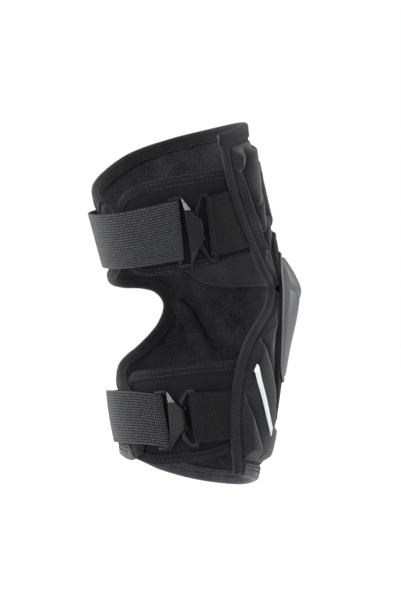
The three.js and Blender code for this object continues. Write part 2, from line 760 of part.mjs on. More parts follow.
addPiece(kneeGuard, "cap_base", capBase(), MATERIALS.flexiblePlate);
addPiece(kneeGuard, "knee_cap", kneeCap(), MATERIALS.capPlastic);
addPiece(kneeGuard, "reflective_stripe", reflectiveStripe(), MATERIALS.reflective);
addPiece(kneeGuard, "lining_patch", liningPatch(), MATERIALS.lining);

for (const [name, closure] of Object.entries(CLOSURES)) {
  addPiece(kneeGuard, `${name}_flap`, flap(FLAPS[name]), MATERIALS.lining);
  addPiece(kneeGuard, `${name}_webbing`, webbing(closure), MATERIALS.elastic);
  addPiece(kneeGuard, `${name}_strap`, strap(closure, STRAPS[name]), MATERIALS.elastic);
  const hardware = new THREE.Group();
  closureFrame(closure).decompose(hardware.position, hardware.quaternion, hardware.scale);
  addPiece(hardware, `${name}_ring`, ring(closure), MATERIALS.bucklePlastic);
  addPiece(hardware, `${name}_buckle`, buckle(closure), MATERIALS.bucklePlastic);
  kneeGuard.add(hardware);
}

export default kneeGuard;
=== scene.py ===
"""Dresses the knee guard's solids: sewn neoprene, padded ribs, bound edges, woven straps and
moulded plastic."""

import math

import bpy
import numpy as np
from mathutils import Matrix, Vector


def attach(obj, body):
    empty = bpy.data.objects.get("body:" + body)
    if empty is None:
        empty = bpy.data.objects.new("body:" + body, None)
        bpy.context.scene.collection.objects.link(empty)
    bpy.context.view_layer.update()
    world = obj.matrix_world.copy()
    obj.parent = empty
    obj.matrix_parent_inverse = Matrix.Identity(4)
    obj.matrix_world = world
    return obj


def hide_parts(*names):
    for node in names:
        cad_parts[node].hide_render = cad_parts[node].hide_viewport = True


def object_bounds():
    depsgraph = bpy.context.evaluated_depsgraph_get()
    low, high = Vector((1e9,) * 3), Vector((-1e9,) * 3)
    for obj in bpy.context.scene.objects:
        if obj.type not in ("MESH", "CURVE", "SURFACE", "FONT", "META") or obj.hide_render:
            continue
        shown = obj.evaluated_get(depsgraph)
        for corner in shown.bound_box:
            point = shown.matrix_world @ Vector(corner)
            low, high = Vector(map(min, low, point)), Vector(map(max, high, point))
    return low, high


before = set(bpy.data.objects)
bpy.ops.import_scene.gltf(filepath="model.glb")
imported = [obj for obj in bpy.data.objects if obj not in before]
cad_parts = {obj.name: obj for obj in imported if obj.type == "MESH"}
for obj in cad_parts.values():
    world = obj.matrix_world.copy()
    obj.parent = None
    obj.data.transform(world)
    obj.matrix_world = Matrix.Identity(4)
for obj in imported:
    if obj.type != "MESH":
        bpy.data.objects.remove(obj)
CAD_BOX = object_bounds()

bl_info = {
    "name": "Knee guard dressing",
    "version": (1, 0, 0),
    "blender": (4, 5, 0),
    "location": "3D View > Sidebar > Knee guard",
    "description": "Builds the cloth, padding, straps and plastic of a soft knee guard",
    "category": "Object",
}

MM = 0.001
SEED = 7

# The leg that the cloth lies on, as in the solids, in millimetres and degrees: s runs along it
# from the knee, angle round it from the front with the open side negative, and depth out from
# the sleeve's inner face.
THIGH_LEAN, SHIN_LEAN, BEND_HALF = 15.0, 9.0, 55.0
LEG_SECTIONS = {
    "s": (-145, -90, -35, 25, 85, 145),
    "front": (51, 54, 53, 50, 48, 56),
    "back": (41, 56, 61, 68, 66, 63),
    "side": (46, 49, 52, 54, 57, 59),
}
# Each edge of the sleeve as s and angle, up the leg or round it from the open side
EDGE_TABLES = {
    "near": (
        (-126.5, -95, -73, -50, -31, -16, -4, 6, 18, 38, 62, 92, 120.5),
        (-71, -82, -86, -86, -81, -69, -53, -46, -60, -71, -78, -81, -80),
    ),
    "back": (
        (-122, -105, -86, -73, -57, -37, -17, -2, 8, 13, 16, 23, 36, 55, 73, 88),
        (196, 202, 197, 176, 147, 115, 97, 93, 99, 111, 131, 156, 182, 192, 191, 183),
    ),
    "top": (
        (120.5, 122.4, 121.4, 120.5, 117.5, 110.5, 98.5, 88),
        (-80, -15, 29, 62, 96, 121, 160, 183),
    ),
    "bottom": (
        (-126.5, -128.5, -133.5, -134.5, -131.5, -125.5, -122.5, -124.5, -126, -122),
        (-71, -25, 12, 52, 82, 112, 140, 165, 183, 196),
    ),
}
# Which side of each edge the cloth is on
INSIDE = {"near": 1, "top": 1, "back": -1, "bottom": -1}
SLEEVE_WALL = 3.0
SLEEVE_GRID = (198, 142)
# Waves of the sleeve: length of the long and the short ones, height of the short ones, and the
# share of the long ones that shows on the outer face
LONG_WAVE, SHORT_WAVE, SHORT_WAVE_HEIGHT, OUTER_WAVE_SHARE = 46.0, 11.0, 0.12, 0.3
# Edge tapes: room between cloth and tape, distance between stations, where the legs meet the half
# circle, and stations on a leg and on the half circle; then the length of a pucker and of a
# stitch, and the dip and width of a row of sewing
TAPE_GAP, TAPE_STEP, TAPE_TURN, TAPE_LEG, TAPE_ARC = 0.25, 1.1, 1.2, 14, 12
TAPE_PUCKER_LENGTH, TAPE_STITCH_LENGTH, SEAM_DIP, SEAM_WIDTH = 9.0, 3.6, 0.45, 0.55
# Pads: depth of back and cover, inset from the bound edge, and s where the two meet
PAD_INNER, PAD_OUTER = 3.5, 6.4
PAD_EDGE_INSET = 5.6
PAD_SPLIT = {"shin": 4.0, "thigh": 6.0}
# Height of a pad's foot at the rolled rim, sink of the grooves, radius of the roll, and the share
# of a distance from a free end that counts, so that the roll is wider there
PAD_FOOT, PAD_SINK, PAD_ROLL, PAD_END_SHARE = 0.3, 1.6, 3.5, 0.45
# Points up and across a pad, and the angle that its lower edge is read out to
PAD_GRID, PAD_SPREAD = (88, 102), 80.0
THIGH_PAD_TOP, SHIN_PAD_LIFT = 110.0, 11.0
# Leaf-shaped ribs of the thigh pad: s and angle along the middle of each, from the top, and its
# half width
THIGH_LEAVES = (
    ((111, 102, 92), (68, 69, 71.5), 7.0),
    ((112, 93, 79, 64), (49, 51, 55, 60.5), 13.5),
    ((71, 60, 45), (51, 54.5, 60), 7.5),
    ((54, 44, 31), (47, 51.5, 57), 6.5),
    ((92, 64, 40, 22), (72, 68.5, 63, 57), 3.6),
    ((96, 76, 58, 42), (33, 35, 38, 42), 6.5),
    ((111, 88, 62, 44), (21, 18.5, 20, 26), 10.0),
    ((111, 80, 44), (0, 0, 0), 10.0),
)
# Half width of a leaf that stands at its full height
WIDE_LEAF = 14.0
# Ribs of the shin pad: slope, distance between them, where the first starts, and the climbing share
SHIN_RIBS = {"slope": -0.69, "pitch": 33.6, "start": 82.0, "climb": 0.2}
# The groove between two of them
GROOVE_DIP, GROOVE_WIDTH = 0.45, 1.6
# Cloth simulation that swells the pads
SWELL_FRAMES = 20
SWELL_CLOTH = {
    "quality": 4,
    "mass": 0.02,
    "tension_stiffness": 12,
    "compression_stiffness": 8,
    "bending_stiffness": 0.05,
    "use_pressure": True,
}
# Plate and cap: depths, s with the half width in degrees, and the cap's crest
BASE_INNER, BASE_OUTER = 7.1, 9.6
BASE_OUTLINE = ((-84, -68, -34, -8, 6, 22, 36, 42), (34, 42, 52, 47, 39, 48, 49, 42))
CAP_SEAT, CAP_RIM = 10.3, 11.4
CAP_OUTLINE = ((-54, -48, -34, -12, 6, 20, 28), (34, 45, 49, 48, 43, 41, 30))
CAP_RIDGE = ((-54, -33, -8, 3, 12, 21, 28), (11.4, 14.5, 22.5, 25.5, 22.5, 17, 12))
CAP_FULLNESS = 2.5
# Slack fold inside the far wall: s, angle and height along its crest, from its upper end
FOLD_LINE = (
    (-3, -8, -20, -31, -40, -46),
    (85, 77, 68.5, 62, 54, 44),
    (2.0, 6.4, 8.0, 8.0, 6.4, 0.5),
)
# Its width on the steep side and on the slow one, and the points along it; then the crease:
# depth, distance from the crest and width
FOLD_STEEP, FOLD_SLOW, FOLD_POINTS = 3.0, 9.5, 120
CREASE_DEPTH, CREASE_AT, CREASE_WIDTH = 1.9, 3.8, 1.5
# Middle line of the reflective stripe, s and angle, and its width, slant, underside and top
STRIPE_LINE = ((-45.8, -56.4, -70.2, -82.6, -94.5), (-77.8, -72.2, -63.2, -54.4, -43.5))
STRIPE_WIDTH, STRIPE_SLANT, STRIPE_UNDER, STRIPE_TOP = 3.6, 0.085, 0.3, 1.1
# Lining patch: its lower edge as angle and s, its ends and top, and its face and back
PATCH_LOW = ((-38, 26, 45, 62, 78), (5.5, 5.5, 6.5, 11, 23))
PATCH_FROM, PATCH_TO, PATCH_HIGH = -38.0, 78.0, 62.0
PATCH_FACE, PATCH_BACK = -0.7, -1.6
PATCH_TOOTH_COLUMNS, PATCH_TOOTH_HEIGHT = 4, 1.7
PATCH_COLUMNS = 232
PATCH_TOOTH = PATCH_TOOTH_COLUMNS * (PATCH_TO - PATCH_FROM) / (PATCH_COLUMNS - 1)
# Flaps: angle, lower edge and upper edge
FLAPS = {
    "upper": (
        (-60, -84, -114, -138, -152, -162, -169, -173),
        (33, 30.5, 27, 26, 26.5, 30.5, 39, 52),
        (93, 96, 99, 100, 98.5, 94, 87, 74),
    ),
    "lower": (
        (-74, -92, -115, -147, -166, -182, -189),
        (-109.5, -117, -123, -128, -127, -123, -113),
        (-42, -45, -50, -58, -61, -65, -76),
    ),
}
# Depth of a flap's face and back, width and rise of its bound border, the roll of its rim, and the
# insets of its stitches with their depth
FLAP_FACE, FLAP_BACK, FLAP_ROLL = -2.9, -4.4, 1.8
FLAP_BORDER, FLAP_BORDER_RISE, FLAP_BORDER_BACK = 8.2, 0.7, 0.3
FLAP_STITCH_INSETS, FLAP_STITCH_DEPTH = (2.6, 6.2), -2.35
# Closures: place and turn on the leg, width of strap and webbing, and how far the webbing climbs
CLOSURES = {
    "upper": {"s": 59, "angle": -113, "turn": -4, "strap": 46.0, "webbing": 44.0, "rise": 0},
    "lower": {"s": -93, "angle": -127, "turn": 12, "strap": 37.5, "webbing": 36.0, "rise": 6},
}
# Stretch of a degree out at the closures, level of a buckle's bar, and x of ring front and bar
CLOSURE_DEGREE = 1.06
BAR_LEVEL, RING_FRONT, BUCKLE_BAR = 1.4, 13.0, -13.5
# Straps: angle, depth of the lower and the upper edge, and s of the middle line
STRAPS = {
    "upper": (
        (-126, -142, -160, -178, -197, -212, -225, -236, -250),
        (5.4, 6, 6.2, 6.5, 6.5, 6, 5, 4.1, 4.1),
        (5.4, 6.4, 7.8, 9, 9.6, 8.6, 6.4, 4.1, 4.1),
        (58.5, 59.5, 60, 61, 62, 62, 61.5, 61, 60.5),
    ),
    "lower": (
        (-141, -154, -168, -184, -200, -213, -226, -237, -249),
        (5.4, 6, 6.5, 7, 7, 6.2, 5, 4.1, 4.1),
        (5.4, 6.8, 8.6, 10.6, 11.4, 9.4, 6.2, 4.1, 4.1),
        (-94.5, -96, -97, -97, -97, -96.5, -94.5, -93.5, -93),
    ),
}
# Share of a strap's length in which it turns from the buckle's line to its own
STRAP_SQUARE_UP = 0.4
# Loop of a strap round its bar, with the tail beneath: radius, length, length of its tuck, and gap
STRAP_BOW, STRAP_TAIL, STRAP_TUCK, STRAP_TAIL_GAP = 2.3, 22.0, 14.0, 1.75
# Loop of the webbing round its ring: radius and level, and the depth of its two ends
WEBBING_BOW, WEBBING_LEVEL, WEBBING_OVER, WEBBING_UNDER = 2.75, 3.0, 1.0, -0.9
# Bands: half thickness, rounded edge, ridge height and distance between ridges; and the least
# height of a rounded edge, squared
STRAP_HALF, STRAP_EDGE, STRAP_RIDGE, STRAP_PITCH = 0.7, 0.9, 0.13, 1.9
WEBBING_HALF, WEBBING_EDGE, WEBBING_RIDGE, WEBBING_PITCH = 0.6, 0.8, 0.12, 1.5
EDGE_LEAST = 0.1
# A stitch: rings along it, sides of a ring, and the thickness at each ring
STITCH_RINGS, STITCH_SIDES, STITCH_TAPER = 5, 5, np.array([0.45, 0.9, 1.0, 0.9, 0.45])
# How far the rows on a tape lie under its face, and the crossed square's inset, sides and height
TAPE_STITCH_SINK = 0.4
SQUARE_INSET, SQUARE_FROM, SQUARE_TO, SQUARE_RISE = 3.5, 3, 20, 0.75

# Camera of the photograph: 0.757 mm to a pixel at the knee, 601 pixels high
VIEW_YAW, VIEW_DISTANCE, VIEW_HEIGHT = -28.0, 1600.0, 455.0
VIEW_SHIFT = (-1.9, -0.4)
SENSOR = 36.0
# Softboxes: place along right, towards the camera and up, in metres; width; share of lamp power
SOFTBOXES = {
    "left_rim_softbox": ((-0.9, -0.35, 0.15), 0.8, 1.5),
    "right_rim_softbox": ((0.95, -0.3, 0.35), 0.6, 0.8),
    "upper_buckle_softbox": ((0.2, 1.02, 0.59), 0.2, 0.55),
    "lower_buckle_softbox": ((-0.3, 0.82, 0.67), 0.2, 0.45),
    "left_fill_softbox": ((-0.65, 1.2, 0.05), 0.7, 1.0),
}
# Spread of the ceiling light in degrees, and points along a side of the floor
CEILING_SPREAD, FLOOR_POINTS = 70.0, 13


# Curves and the leg's surface


def smooth(keys, values):
    """A cubic through a table's points, with the slope at each from its two neighbours, held past
    the ends."""
    order = np.argsort(keys)
    t, y = np.asarray(keys, float)[order], np.asarray(values, float)[order]
    ends = np.arange(len(t))
    before, after = np.maximum(ends - 1, 0), np.minimum(ends + 1, len(t) - 1)
    slope = (y[after] - y[before]) / (t[after] - t[before])

    def at(x):
        x = np.clip(np.asarray(x, float), t[0], t[-1])
        i = np.clip(np.searchsorted(t, x) - 1, 0, len(t) - 2)
        step = t[i + 1] - t[i]
        u = (x - t[i]) / step
        leave = u * (1 - u) ** 2 * step * slope[i]
        arrive = u * u * (u - 1) * step * slope[i + 1]
        return y[i] + (y[i + 1] - y[i]) * u * u * (3 - 2 * u) + leave + arrive

    return at


def step_between(x, low, high):
    """0 below low, 1 above high, and an S curve between."""
    t = np.clip((np.asarray(x, float) - low) / (high - low), 0, 1)
    return t * t * (3 - 2 * t)


def bell(x, middle, width):
    """A bell curve: 1 at the middle, and close to 0 two widths away."""
    return np.exp(-(((x - middle) / width) ** 2))


def rounded(inset, radius, least=0.0):
    """Height of a rounded rim: a quarter circle from 0 at the rim to 1 a radius inside it, and no
    less than the root of least."""
    return np.sqrt(np.clip(1 - (1 - np.clip(inset / radius, 0, 1)) ** 2, least, 1))


def unit(vectors):
    """Vectors scaled to a length of one."""
    return vectors / np.linalg.norm(vectors, axis=-1, keepdims=True)


def run_length(path):
    """Length along a path from its start to each of its points."""
    return np.concatenate([[0], np.cumsum(np.linalg.norm(np.diff(path, axis=0), axis=1))])


def shares(rows, columns, first=0):
    """Shares of a grid: a column from 0 to 1 up its rows, and a row from first to 1 across it."""
    return np.linspace(0, 1, rows)[:, None], np.linspace(first, 1, columns)[None, :]


FRONT = smooth(LEG_SECTIONS["s"], LEG_SECTIONS["front"])
BACK = smooth(LEG_SECTIONS["s"], LEG_SECTIONS["back"])
SIDE = smooth(LEG_SECTIONS["s"], LEG_SECTIONS["side"])


def leg_point(s, angle, depth):
    """A place on the leg: out along an elliptical section, whose centre runs on two straights
    joined by an arc."""
    s, angle, depth = np.broadcast_arrays(*(np.asarray(v, float) for v in (s, angle, depth)))
    bend = math.radians(THIGH_LEAN + SHIN_LEAN) / (2 * BEND_HALF)
    middle = math.radians(THIGH_LEAN - SHIN_LEAN) / 2
    on_arc = np.clip(s, -BEND_HALF, BEND_HALF)
    beyond = s - on_arc
    lean = middle + bend * on_arc
    x = (np.cos(lean) - math.cos(middle)) / bend - beyond * np.sin(lean)
    z = (np.sin(lean) - math.sin(middle)) / bend + beyond * np.cos(lean)
    turn = np.radians(angle)
    half = np.where(np.cos(turn) > 0, FRONT(s), BACK(s))
    forward = (half + depth) * np.cos(turn)
    across = (SIDE(s) + depth) * np.sin(turn)
    return np.stack([x + forward * np.cos(lean), across, z + forward * np.sin(lean)], axis=-1)


def degree_length(s):
    """Millimetres round the leg for one degree."""
    return np.radians(1) * SIDE(s)


def spline_edge(rows):
    """A centripetal Catmull-Rom line through (s, angle) rows, read by shares of its length."""
    p = np.array(rows, float).T
    p = np.vstack([2 * p[0] - p[1], p, 2 * p[-1] - p[-2]])
    gap = np.sqrt(np.linalg.norm(np.diff(p, axis=0), axis=1))
    t = np.linspace(0, 1, 60)[:-1, None]
    runs = []
    for i in range(1, len(p) - 2):
        d0, d1, d2 = gap[i - 1 : i + 2]
        h = p[i + 1] - p[i]
        leave = (p[i] - p[i - 1]) / d0 - (p[i + 1] - p[i - 1]) / (d0 + d1) + h / d1
        arrive = h / d1 - (p[i + 2] - p[i]) / (d1 + d2) + (p[i + 2] - p[i + 1]) / d2
        runs.append(
            p[i] + leave * d1 * t + (3 * h - (2 * leave + arrive) * d1) * t**2
            + ((leave + arrive) * d1 - 2 * h) * t**3
        )
    line = np.vstack([*runs, p[-2:-1]])
    length = run_length(line)

    def at(share):
        where = np.asarray(share, float) * length[-1]
        return np.stack([np.interp(where, length, line[:, k]) for k in (0, 1)], axis=-1)

    at.length = float(length[-1])
    return at


EDGES = {name: spline_edge(rows) for name, rows in EDGE_TABLES.items()}


def beside(line, inside, across):
    """Places a distance from a line of (s, angle), square to it along the surface; a row for each
    station."""
    degree = degree_length(line[:, 0])
    along = np.gradient(line, axis=0)
    run = unit(np.stack([along[:, 0], along[:, 1] * degree], axis=-1))
    shift = np.asarray(across, float) * inside
    s = line[:, :1] - run[:, 1:] * shift
    angle = line[:, 1:] + run[:, :1] * shift / degree[:, None]
    return s, angle


_NEAR_LINE = EDGES["near"](np.linspace(0, 1, 161))
_PAD_LINE = beside(_NEAR_LINE, 1, [PAD_EDGE_INSET])
NEAR_ANGLE = smooth(_NEAR_LINE[::2, 0], _NEAR_LINE[::2, 1])
PAD_SIDE = smooth(_PAD_LINE[0][::2, 0], _PAD_LINE[1][::2, 0])
_LOW_LINE = EDGES["bottom"](np.linspace(0, 1, 81))
BOTTOM_S = smooth(_LOW_LINE[:, 1], _LOW_LINE[:, 0])
BASE_HALF = smooth(*BASE_OUTLINE)


def ripple(s, around, size, seed):
    """Soft uneven cloth: a sum of twelve waves in fixed random directions, about one unit high."""
    draw = np.random.default_rng(seed)
    total = np.zeros(np.broadcast(s, around).shape)
    for turn, stretch, phase in draw.uniform((0, 0.6, 0), (np.pi, 1.8, 2 * np.pi), (12, 3)):
        along = s * np.cos(turn) + around * np.sin(turn)
        total += np.sin(along * 2 * np.pi / (size * stretch) + phase)
    return total / 5


# Meshes


def grid_faces(rows, columns, wrap=False):
    """Corner numbers of the quads of a grid; wrap joins the last column to the first."""
    index = np.arange(rows * columns).reshape(rows, columns)
    right = np.roll(index, -1, axis=1) if wrap else index[:, 1:]
    left = index if wrap else index[:, :-1]
    return np.stack([left[:-1], right[:-1], right[1:], left[1:]], axis=-1).reshape(-1, 4)


def shell(outer, inner):
    """Two faces over one grid of places, joined round the rim: points and quads."""
    rows, columns = outer.shape[:2]
    count = rows * columns
    index = np.arange(count).reshape(rows, columns)
    rim = np.concatenate([index[0, :-1], index[:-1, -1], index[-1, :0:-1], index[:0:-1, 0]])
    ahead = np.roll(rim, -1)
    top = grid_faces(rows, columns)
    side = np.stack([ahead, rim, rim + count, ahead + count], axis=-1)
    faces = np.vstack([top, top[:, ::-1] + count, side])
    return np.vstack([outer.reshape(-1, 3), inner.reshape(-1, 3)]), faces


def layer(s, angle, outer, inner):
    """A sheet on the leg between two depths: points and quads."""
    return shell(leg_point(s, angle, outer), leg_point(s, angle, inner))


def tube(rings):
    """Closed rings carried along a path, with a fan of faces over each end: points and faces of
    four corners."""
    stations, count = rings.shape[:2]
    points = np.vstack([rings.reshape(-1, 3), rings[0].mean(0), rings[-1].mean(0)])
    first = np.arange(count)
    last = first + (stations - 1) * count
    hub = stations * count
    ends = [(np.roll(first, -1), first, hub), (last, np.roll(last, -1), hub + 1)]
    fans = [np.stack([a, b, np.full(count, c), np.full(count, c)], axis=-1) for a, b, c in ends]
    return points, np.vstack([grid_faces(stations, count, wrap=True), *fans])


def joined(parts):
    """Several meshes as one: their points, and their faces renumbered."""
    starts = np.cumsum([0, *(len(points) for points, _ in parts[:-1])])
    faces = np.vstack([faces + start for (_, faces), start in zip(parts, starts)])
    return np.vstack([points for points, _ in parts]), faces


def outward(points, faces):
    """A closed mesh with its faces turned out; a face whose last two corners are one is a
    triangle."""
    a, b, c, d = (points[faces[:, k]] for k in range(4))
    volume = np.einsum("ij,ij->", a, np.cross(b, c)) + np.einsum("ij,ij->", a, np.cross(c, d))
    if volume > 0:
        return points, faces
    tri = (faces[:, 2] == faces[:, 3])[:, None]
    return points, np.where(tri, faces[:, [1, 0, 2, 2]], faces[:, ::-1])


def make_piece(name, surface, material, stands_for=(), uv=None, sharp=None, on=None):
    """A mesh object at the origin from a surface's points, in millimetres, and faces. uv is the
    place on the cloth in millimetres, sharp the angle of a hard edge in degrees, and on the piece
    that it is sewn to."""
    points, faces = outward(*surface)
    tri = faces[:, 2] == faces[:, 3]
    mesh = bpy.data.meshes.new(name)
    mesh.from_pydata(points * MM, [], [*faces[~tri].tolist(), *faces[tri][:, :3].tolist()])
    mesh.shade_smooth()
    if sharp is not None:
        mesh.set_sharp_from_angle(angle=math.radians(sharp))
    if uv is not None:
        corners = np.empty(len(mesh.loops), np.int32)
        mesh.loops.foreach_get("vertex_index", corners)
        cloth = mesh.uv_layers.new(name="cloth")
        cloth.uv.foreach_set("vector", np.asarray(uv, np.float32)[corners].ravel())
    mesh.materials.append(finish(material))
    piece = bpy.data.objects.new(name, mesh)
    bpy.context.scene.collection.objects.link(piece)
    if on:
        piece.parent = bpy.data.objects[on]
    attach(piece, "root")
    if stands_for:
        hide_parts(*stands_for)
    return piece


def twice(*parts):
    """The same cloth places for a shell's outer and inner face."""
    flat = np.stack(np.broadcast_arrays(*parts), axis=-1).reshape(-1, 2)
    return np.vstack([flat, flat])


# Materials


def linear(hex_colour):
    """An sRGB hex value as linear red, green, blue and alpha."""
    parts = np.array([int(hex_colour[i : i + 2], 16) for i in (1, 3, 5)]) / 255
    parts = np.where(parts <= 0.04045, parts / 12.92, ((parts + 0.055) / 1.055) ** 2.4)
    return (*parts.tolist(), 1.0)


def add_node(tree, kind, inputs=None, **settings):
    """Adds a node with its settings; an input given as a socket is linked, and any other is set."""
    made = tree.nodes.new(kind)
    for name, value in settings.items():
        setattr(made, name, value)
    for key, value in (inputs or {}).items():
        if isinstance(value, bpy.types.NodeSocket):
            tree.links.new(value, made.inputs[key])
        else:
            made.inputs[key].default_value = value
    return made


def start_material(name):
    """An empty node material with its tree."""
    material = bpy.data.materials.new(name)
    material.use_nodes = True
    material.node_tree.nodes.clear()
    return material, material.node_tree


def finish_material(tree, **sockets):
    """The surface shader and the output; keys are the shader's sockets with underscores for
    spaces."""
    inputs = {key.replace("_", " "): value for key, value in sockets.items()}
    shader = add_node(tree, "ShaderNodeBsdfPrincipled", inputs)
    add_node(tree, "ShaderNodeOutputMaterial", {"Surface": shader.outputs[0]})


def shades(tree, factor, colour, stops):
    """Shades of one colour by a factor: stops are (place, times the colour)."""
    made = add_node(tree, "ShaderNodeValToRGB", {"Fac": factor})
    for element, (place, times) in zip(made.color_ramp.elements, stops):
        element.position = place
        element.color = (*(np.array(colour) * times).tolist(), 1.0)
    return made.outputs["Color"]


def noise(tree, place, scale, detail=3.0, **more):
    """Noise at a place, with about as many features to a unit of length as the scale."""
    inputs = {"Vector": place, "Scale": scale, "Detail": detail, **more}
    return add_node(tree, "ShaderNodeTexNoise", inputs).outputs["Fac"]


def calculate(tree, operation, *values):
    """Arithmetic on sockets and numbers."""
    made = add_node(tree, "ShaderNodeMath", dict(enumerate(values)), operation=operation)
    return made.outputs[0]


def relief(tree, height, strength, distance):
    """Normals of a relief of that height in millimetres."""
    inputs = {"Strength": strength, "Distance": distance * MM, "Height": height}
    return add_node(tree, "ShaderNodeBump", inputs).outputs["Normal"]


def knit_material(name, colour, dark, light, loop, bump, sheen, roughness=0.92):
    """Knitted or brushed cloth: a mottle of loops of a given size, uneven dye over centimetres, and
    a soft nap."""
    material, tree = start_material(name)
    place = add_node(tree, "ShaderNodeTexCoord").outputs["Object"]
    pile = noise(tree, place, 1 / (loop * MM), Roughness=0.6)
    dye = calculate(tree, "MULTIPLY", noise(tree, place, 60.0), 0.35)
    both = calculate(tree, "MULTIPLY_ADD", pile, 0.65, dye)
    finish_material(
        tree, Base_Color=shades(tree, both, colour, [(0.34, dark), (0.66, light)]),
        Roughness=roughness, Normal=relief(tree, pile, bump, 0.5), Sheen_Weight=sheen,
        Sheen_Roughness=0.5, Specular_IOR_Level=0.1,
    )
    return material


def woven_material(name, colour, dark, light, dash, row, sheen, bump):
    """Woven band: rows of short floats of thread along it, each row half a float on, with dark gaps
    between."""
    material, tree = start_material(name)
    cloth = add_node(tree, "ShaderNodeUVMap", uv_map="cloth").outputs["UV"]
    floats = {
        "Vector": cloth, "Color1": (1, 1, 1, 1), "Color2": (0.7, 0.7, 0.7, 1),
        "Mortar": (0, 0, 0, 1), "Mortar Size": 0.36 * min(row, dash), "Mortar Smooth": 0.7,
        "Brick Width": dash, "Row Height": row, "Scale": 1.0,
    }
    weave = add_node(tree, "ShaderNodeTexBrick", floats).outputs["Color"]
    height = calculate(tree, "MULTIPLY", weave, noise(tree, cloth, 0.9))
    finish_material(
        tree, Base_Color=shades(tree, height, colour, [(0.03, dark), (0.5, light)]),
        Roughness=0.85, Normal=relief(tree, height, bump, 0.35), Sheen_Weight=sheen,
        Sheen_Roughness=0.45, Specular_IOR_Level=0.12,
    )
    return material


def moulded_material(name, colour, dark, light, roughness, grain, bump, gleam=0.5):
    """Moulded plastic, rubber or film: faint flow marks in colour and gloss, and a fine
    spark-eroded grain."""
    material, tree = start_material(name)
    place = add_node(tree, "ShaderNodeTexCoord").outputs["Object"]
    flow = noise(tree, place, 35.0, 4.0)
    spark = noise(tree, place, 1 / (grain * MM), 2.0)
    gloss = {
        "Value": flow, "From Min": 0.3, "From Max": 0.7,
        "To Min": roughness - 0.05, "To Max": roughness + 0.06,
    }
    rough = add_node(tree, "ShaderNodeMapRange", gloss).outputs["Result"]
    finish_material(
        tree, Base_Color=shades(tree, flow, colour, [(0.35, dark), (0.7, light)]),
        Roughness=rough, Normal=relief(tree, spark, bump, 0.12), Specular_IOR_Level=gleam,
    )
    return material


# Each finish: how it is made, the colour it shades, and its sizes in millimetres
FINISHES = {
    # Brushed loop-faced neoprene: black and dull, with a mottle of loops about a millimetre apart
    "loop_faced_neoprene": (
        knit_material, "cloth", dict(dark=0.3, light=3.6, loop=1.2, bump=0.8, sheen=0.08),
    ),
    # Polyester warp-knit cover over foam: black with a soft grey nap
    "warp_knit_cover": (
        knit_material, "cloth", dict(dark=0.2, light=2.1, loop=1.0, bump=0.7, sheen=0.2),
    ),
    # Folded knit binding tape: smoother, a little greyer than the cloth
    "knit_binding_tape": (
        knit_material, "cloth", dict(dark=0.6, light=1.9, loop=0.7, bump=0.5, sheen=0.08),
    ),
    # Brushed nylon hem tape, painted paler as a painted highlight for the light on the bottom hem;
    # its nap catches the light
    "brushed_hem_tape": (
        knit_material, "cloth", dict(dark=2.4, light=6.4, loop=0.8, bump=0.5, sheen=0.2),
    ),
    # Stretch nylon knit: fine and dark
    "stretch_nylon_knit": (
        knit_material, "cloth", dict(dark=0.4, light=1.2, loop=0.5, bump=0.35, sheen=0.05),
    ),
    # Napped lining: a shade greyer than the neoprene
    "napped_lining": (
        knit_material, "cloth", dict(dark=1.2, light=4.2, loop=0.8, bump=0.5, sheen=0.1),
    ),
    # Spun polyester thread: a little lighter than what it sews
    "spun_thread": (
        knit_material, "cloth",
        dict(dark=1.1, light=2.8, loop=0.3, bump=0.3, sheen=0.1, roughness=0.7),
    ),
    # Overlock thread: pale grey against the lining that it edges
    "overlock_thread": (
        knit_material, "cloth",
        dict(dark=4.5, light=9.0, loop=0.3, bump=0.3, sheen=0.1, roughness=0.7),
    ),
    # Woven rubber-and-polyester elastic: rows of grey floats with dark gaps
    "woven_elastic": (
        woven_material, "elastic",
        dict(dark=0.02, light=1.15, dash=1.5, row=STRAP_PITCH, sheen=0.15, bump=1.0),
    ),
    # Ribbed woven webbing: nearly black, close cords across the band
    "ribbed_webbing": (
        woven_material, "elastic",
        dict(dark=0.03, light=0.2, dash=9.0, row=WEBBING_PITCH, sheen=0.02, bump=0.9),
    ),
    # Moulded nylon: black, half gloss
    "moulded_nylon": (
        moulded_material, "nylon",
        dict(dark=0.8, light=1.2, roughness=0.2, grain=0.35, bump=0.04, gleam=0.14),
    ),
    # Moulded polyethylene: mid grey, satin
    "moulded_polyethylene": (
        moulded_material, "cap", dict(dark=0.9, light=1.1, roughness=0.48, grain=0.5, bump=0.15),
    ),
    # Flexible rubber sheet: black and dull
    "rubber_sheet": (
        moulded_material, "nylon",
        dict(dark=0.9, light=1.5, roughness=0.6, grain=0.6, bump=0.25, gleam=0.1),
    ),
    # Glass-bead reflective tape: pale grey, fine beads
    "glass_bead_tape": (
        moulded_material, "reflective",
        dict(dark=0.92, light=1.05, roughness=0.4, grain=0.3, bump=0.2),
    ),
}


def finish(name):
    """The finish of that name, made when it is first asked for."""
    made = bpy.data.materials.get(name)
    if made is None:
        maker, colour, sizes = FINISHES[name]
        made = maker(name, getattr(bpy.context.scene.kneeguard_colours, colour), **sizes)
    return made


# Pieces of cloth


def sleeve_net(rows, columns):
    """Places for the whole sleeve: the two-way blend of its four edges, less the blend of its
    corners."""
    v, u = (share[..., None] for share in shares(rows, columns))
    near, back = EDGES["near"](v[:, 0, 0])[:, None], EDGES["back"](v[:, 0, 0])[:, None]
    low, high = EDGES["bottom"](u[0, :, 0])[None], EDGES["top"](u[0, :, 0])[None]
    up = low + (high - low) * v
    around = near + (back - near) * u
    low_corners = near[:1] + (back[:1] - near[:1]) * u
    high_corners = near[-1:] + (back[-1:] - near[-1:]) * u
    net = up + around - (low_corners + (high_corners - low_corners) * v)
    return net[..., 0], net[..., 1]


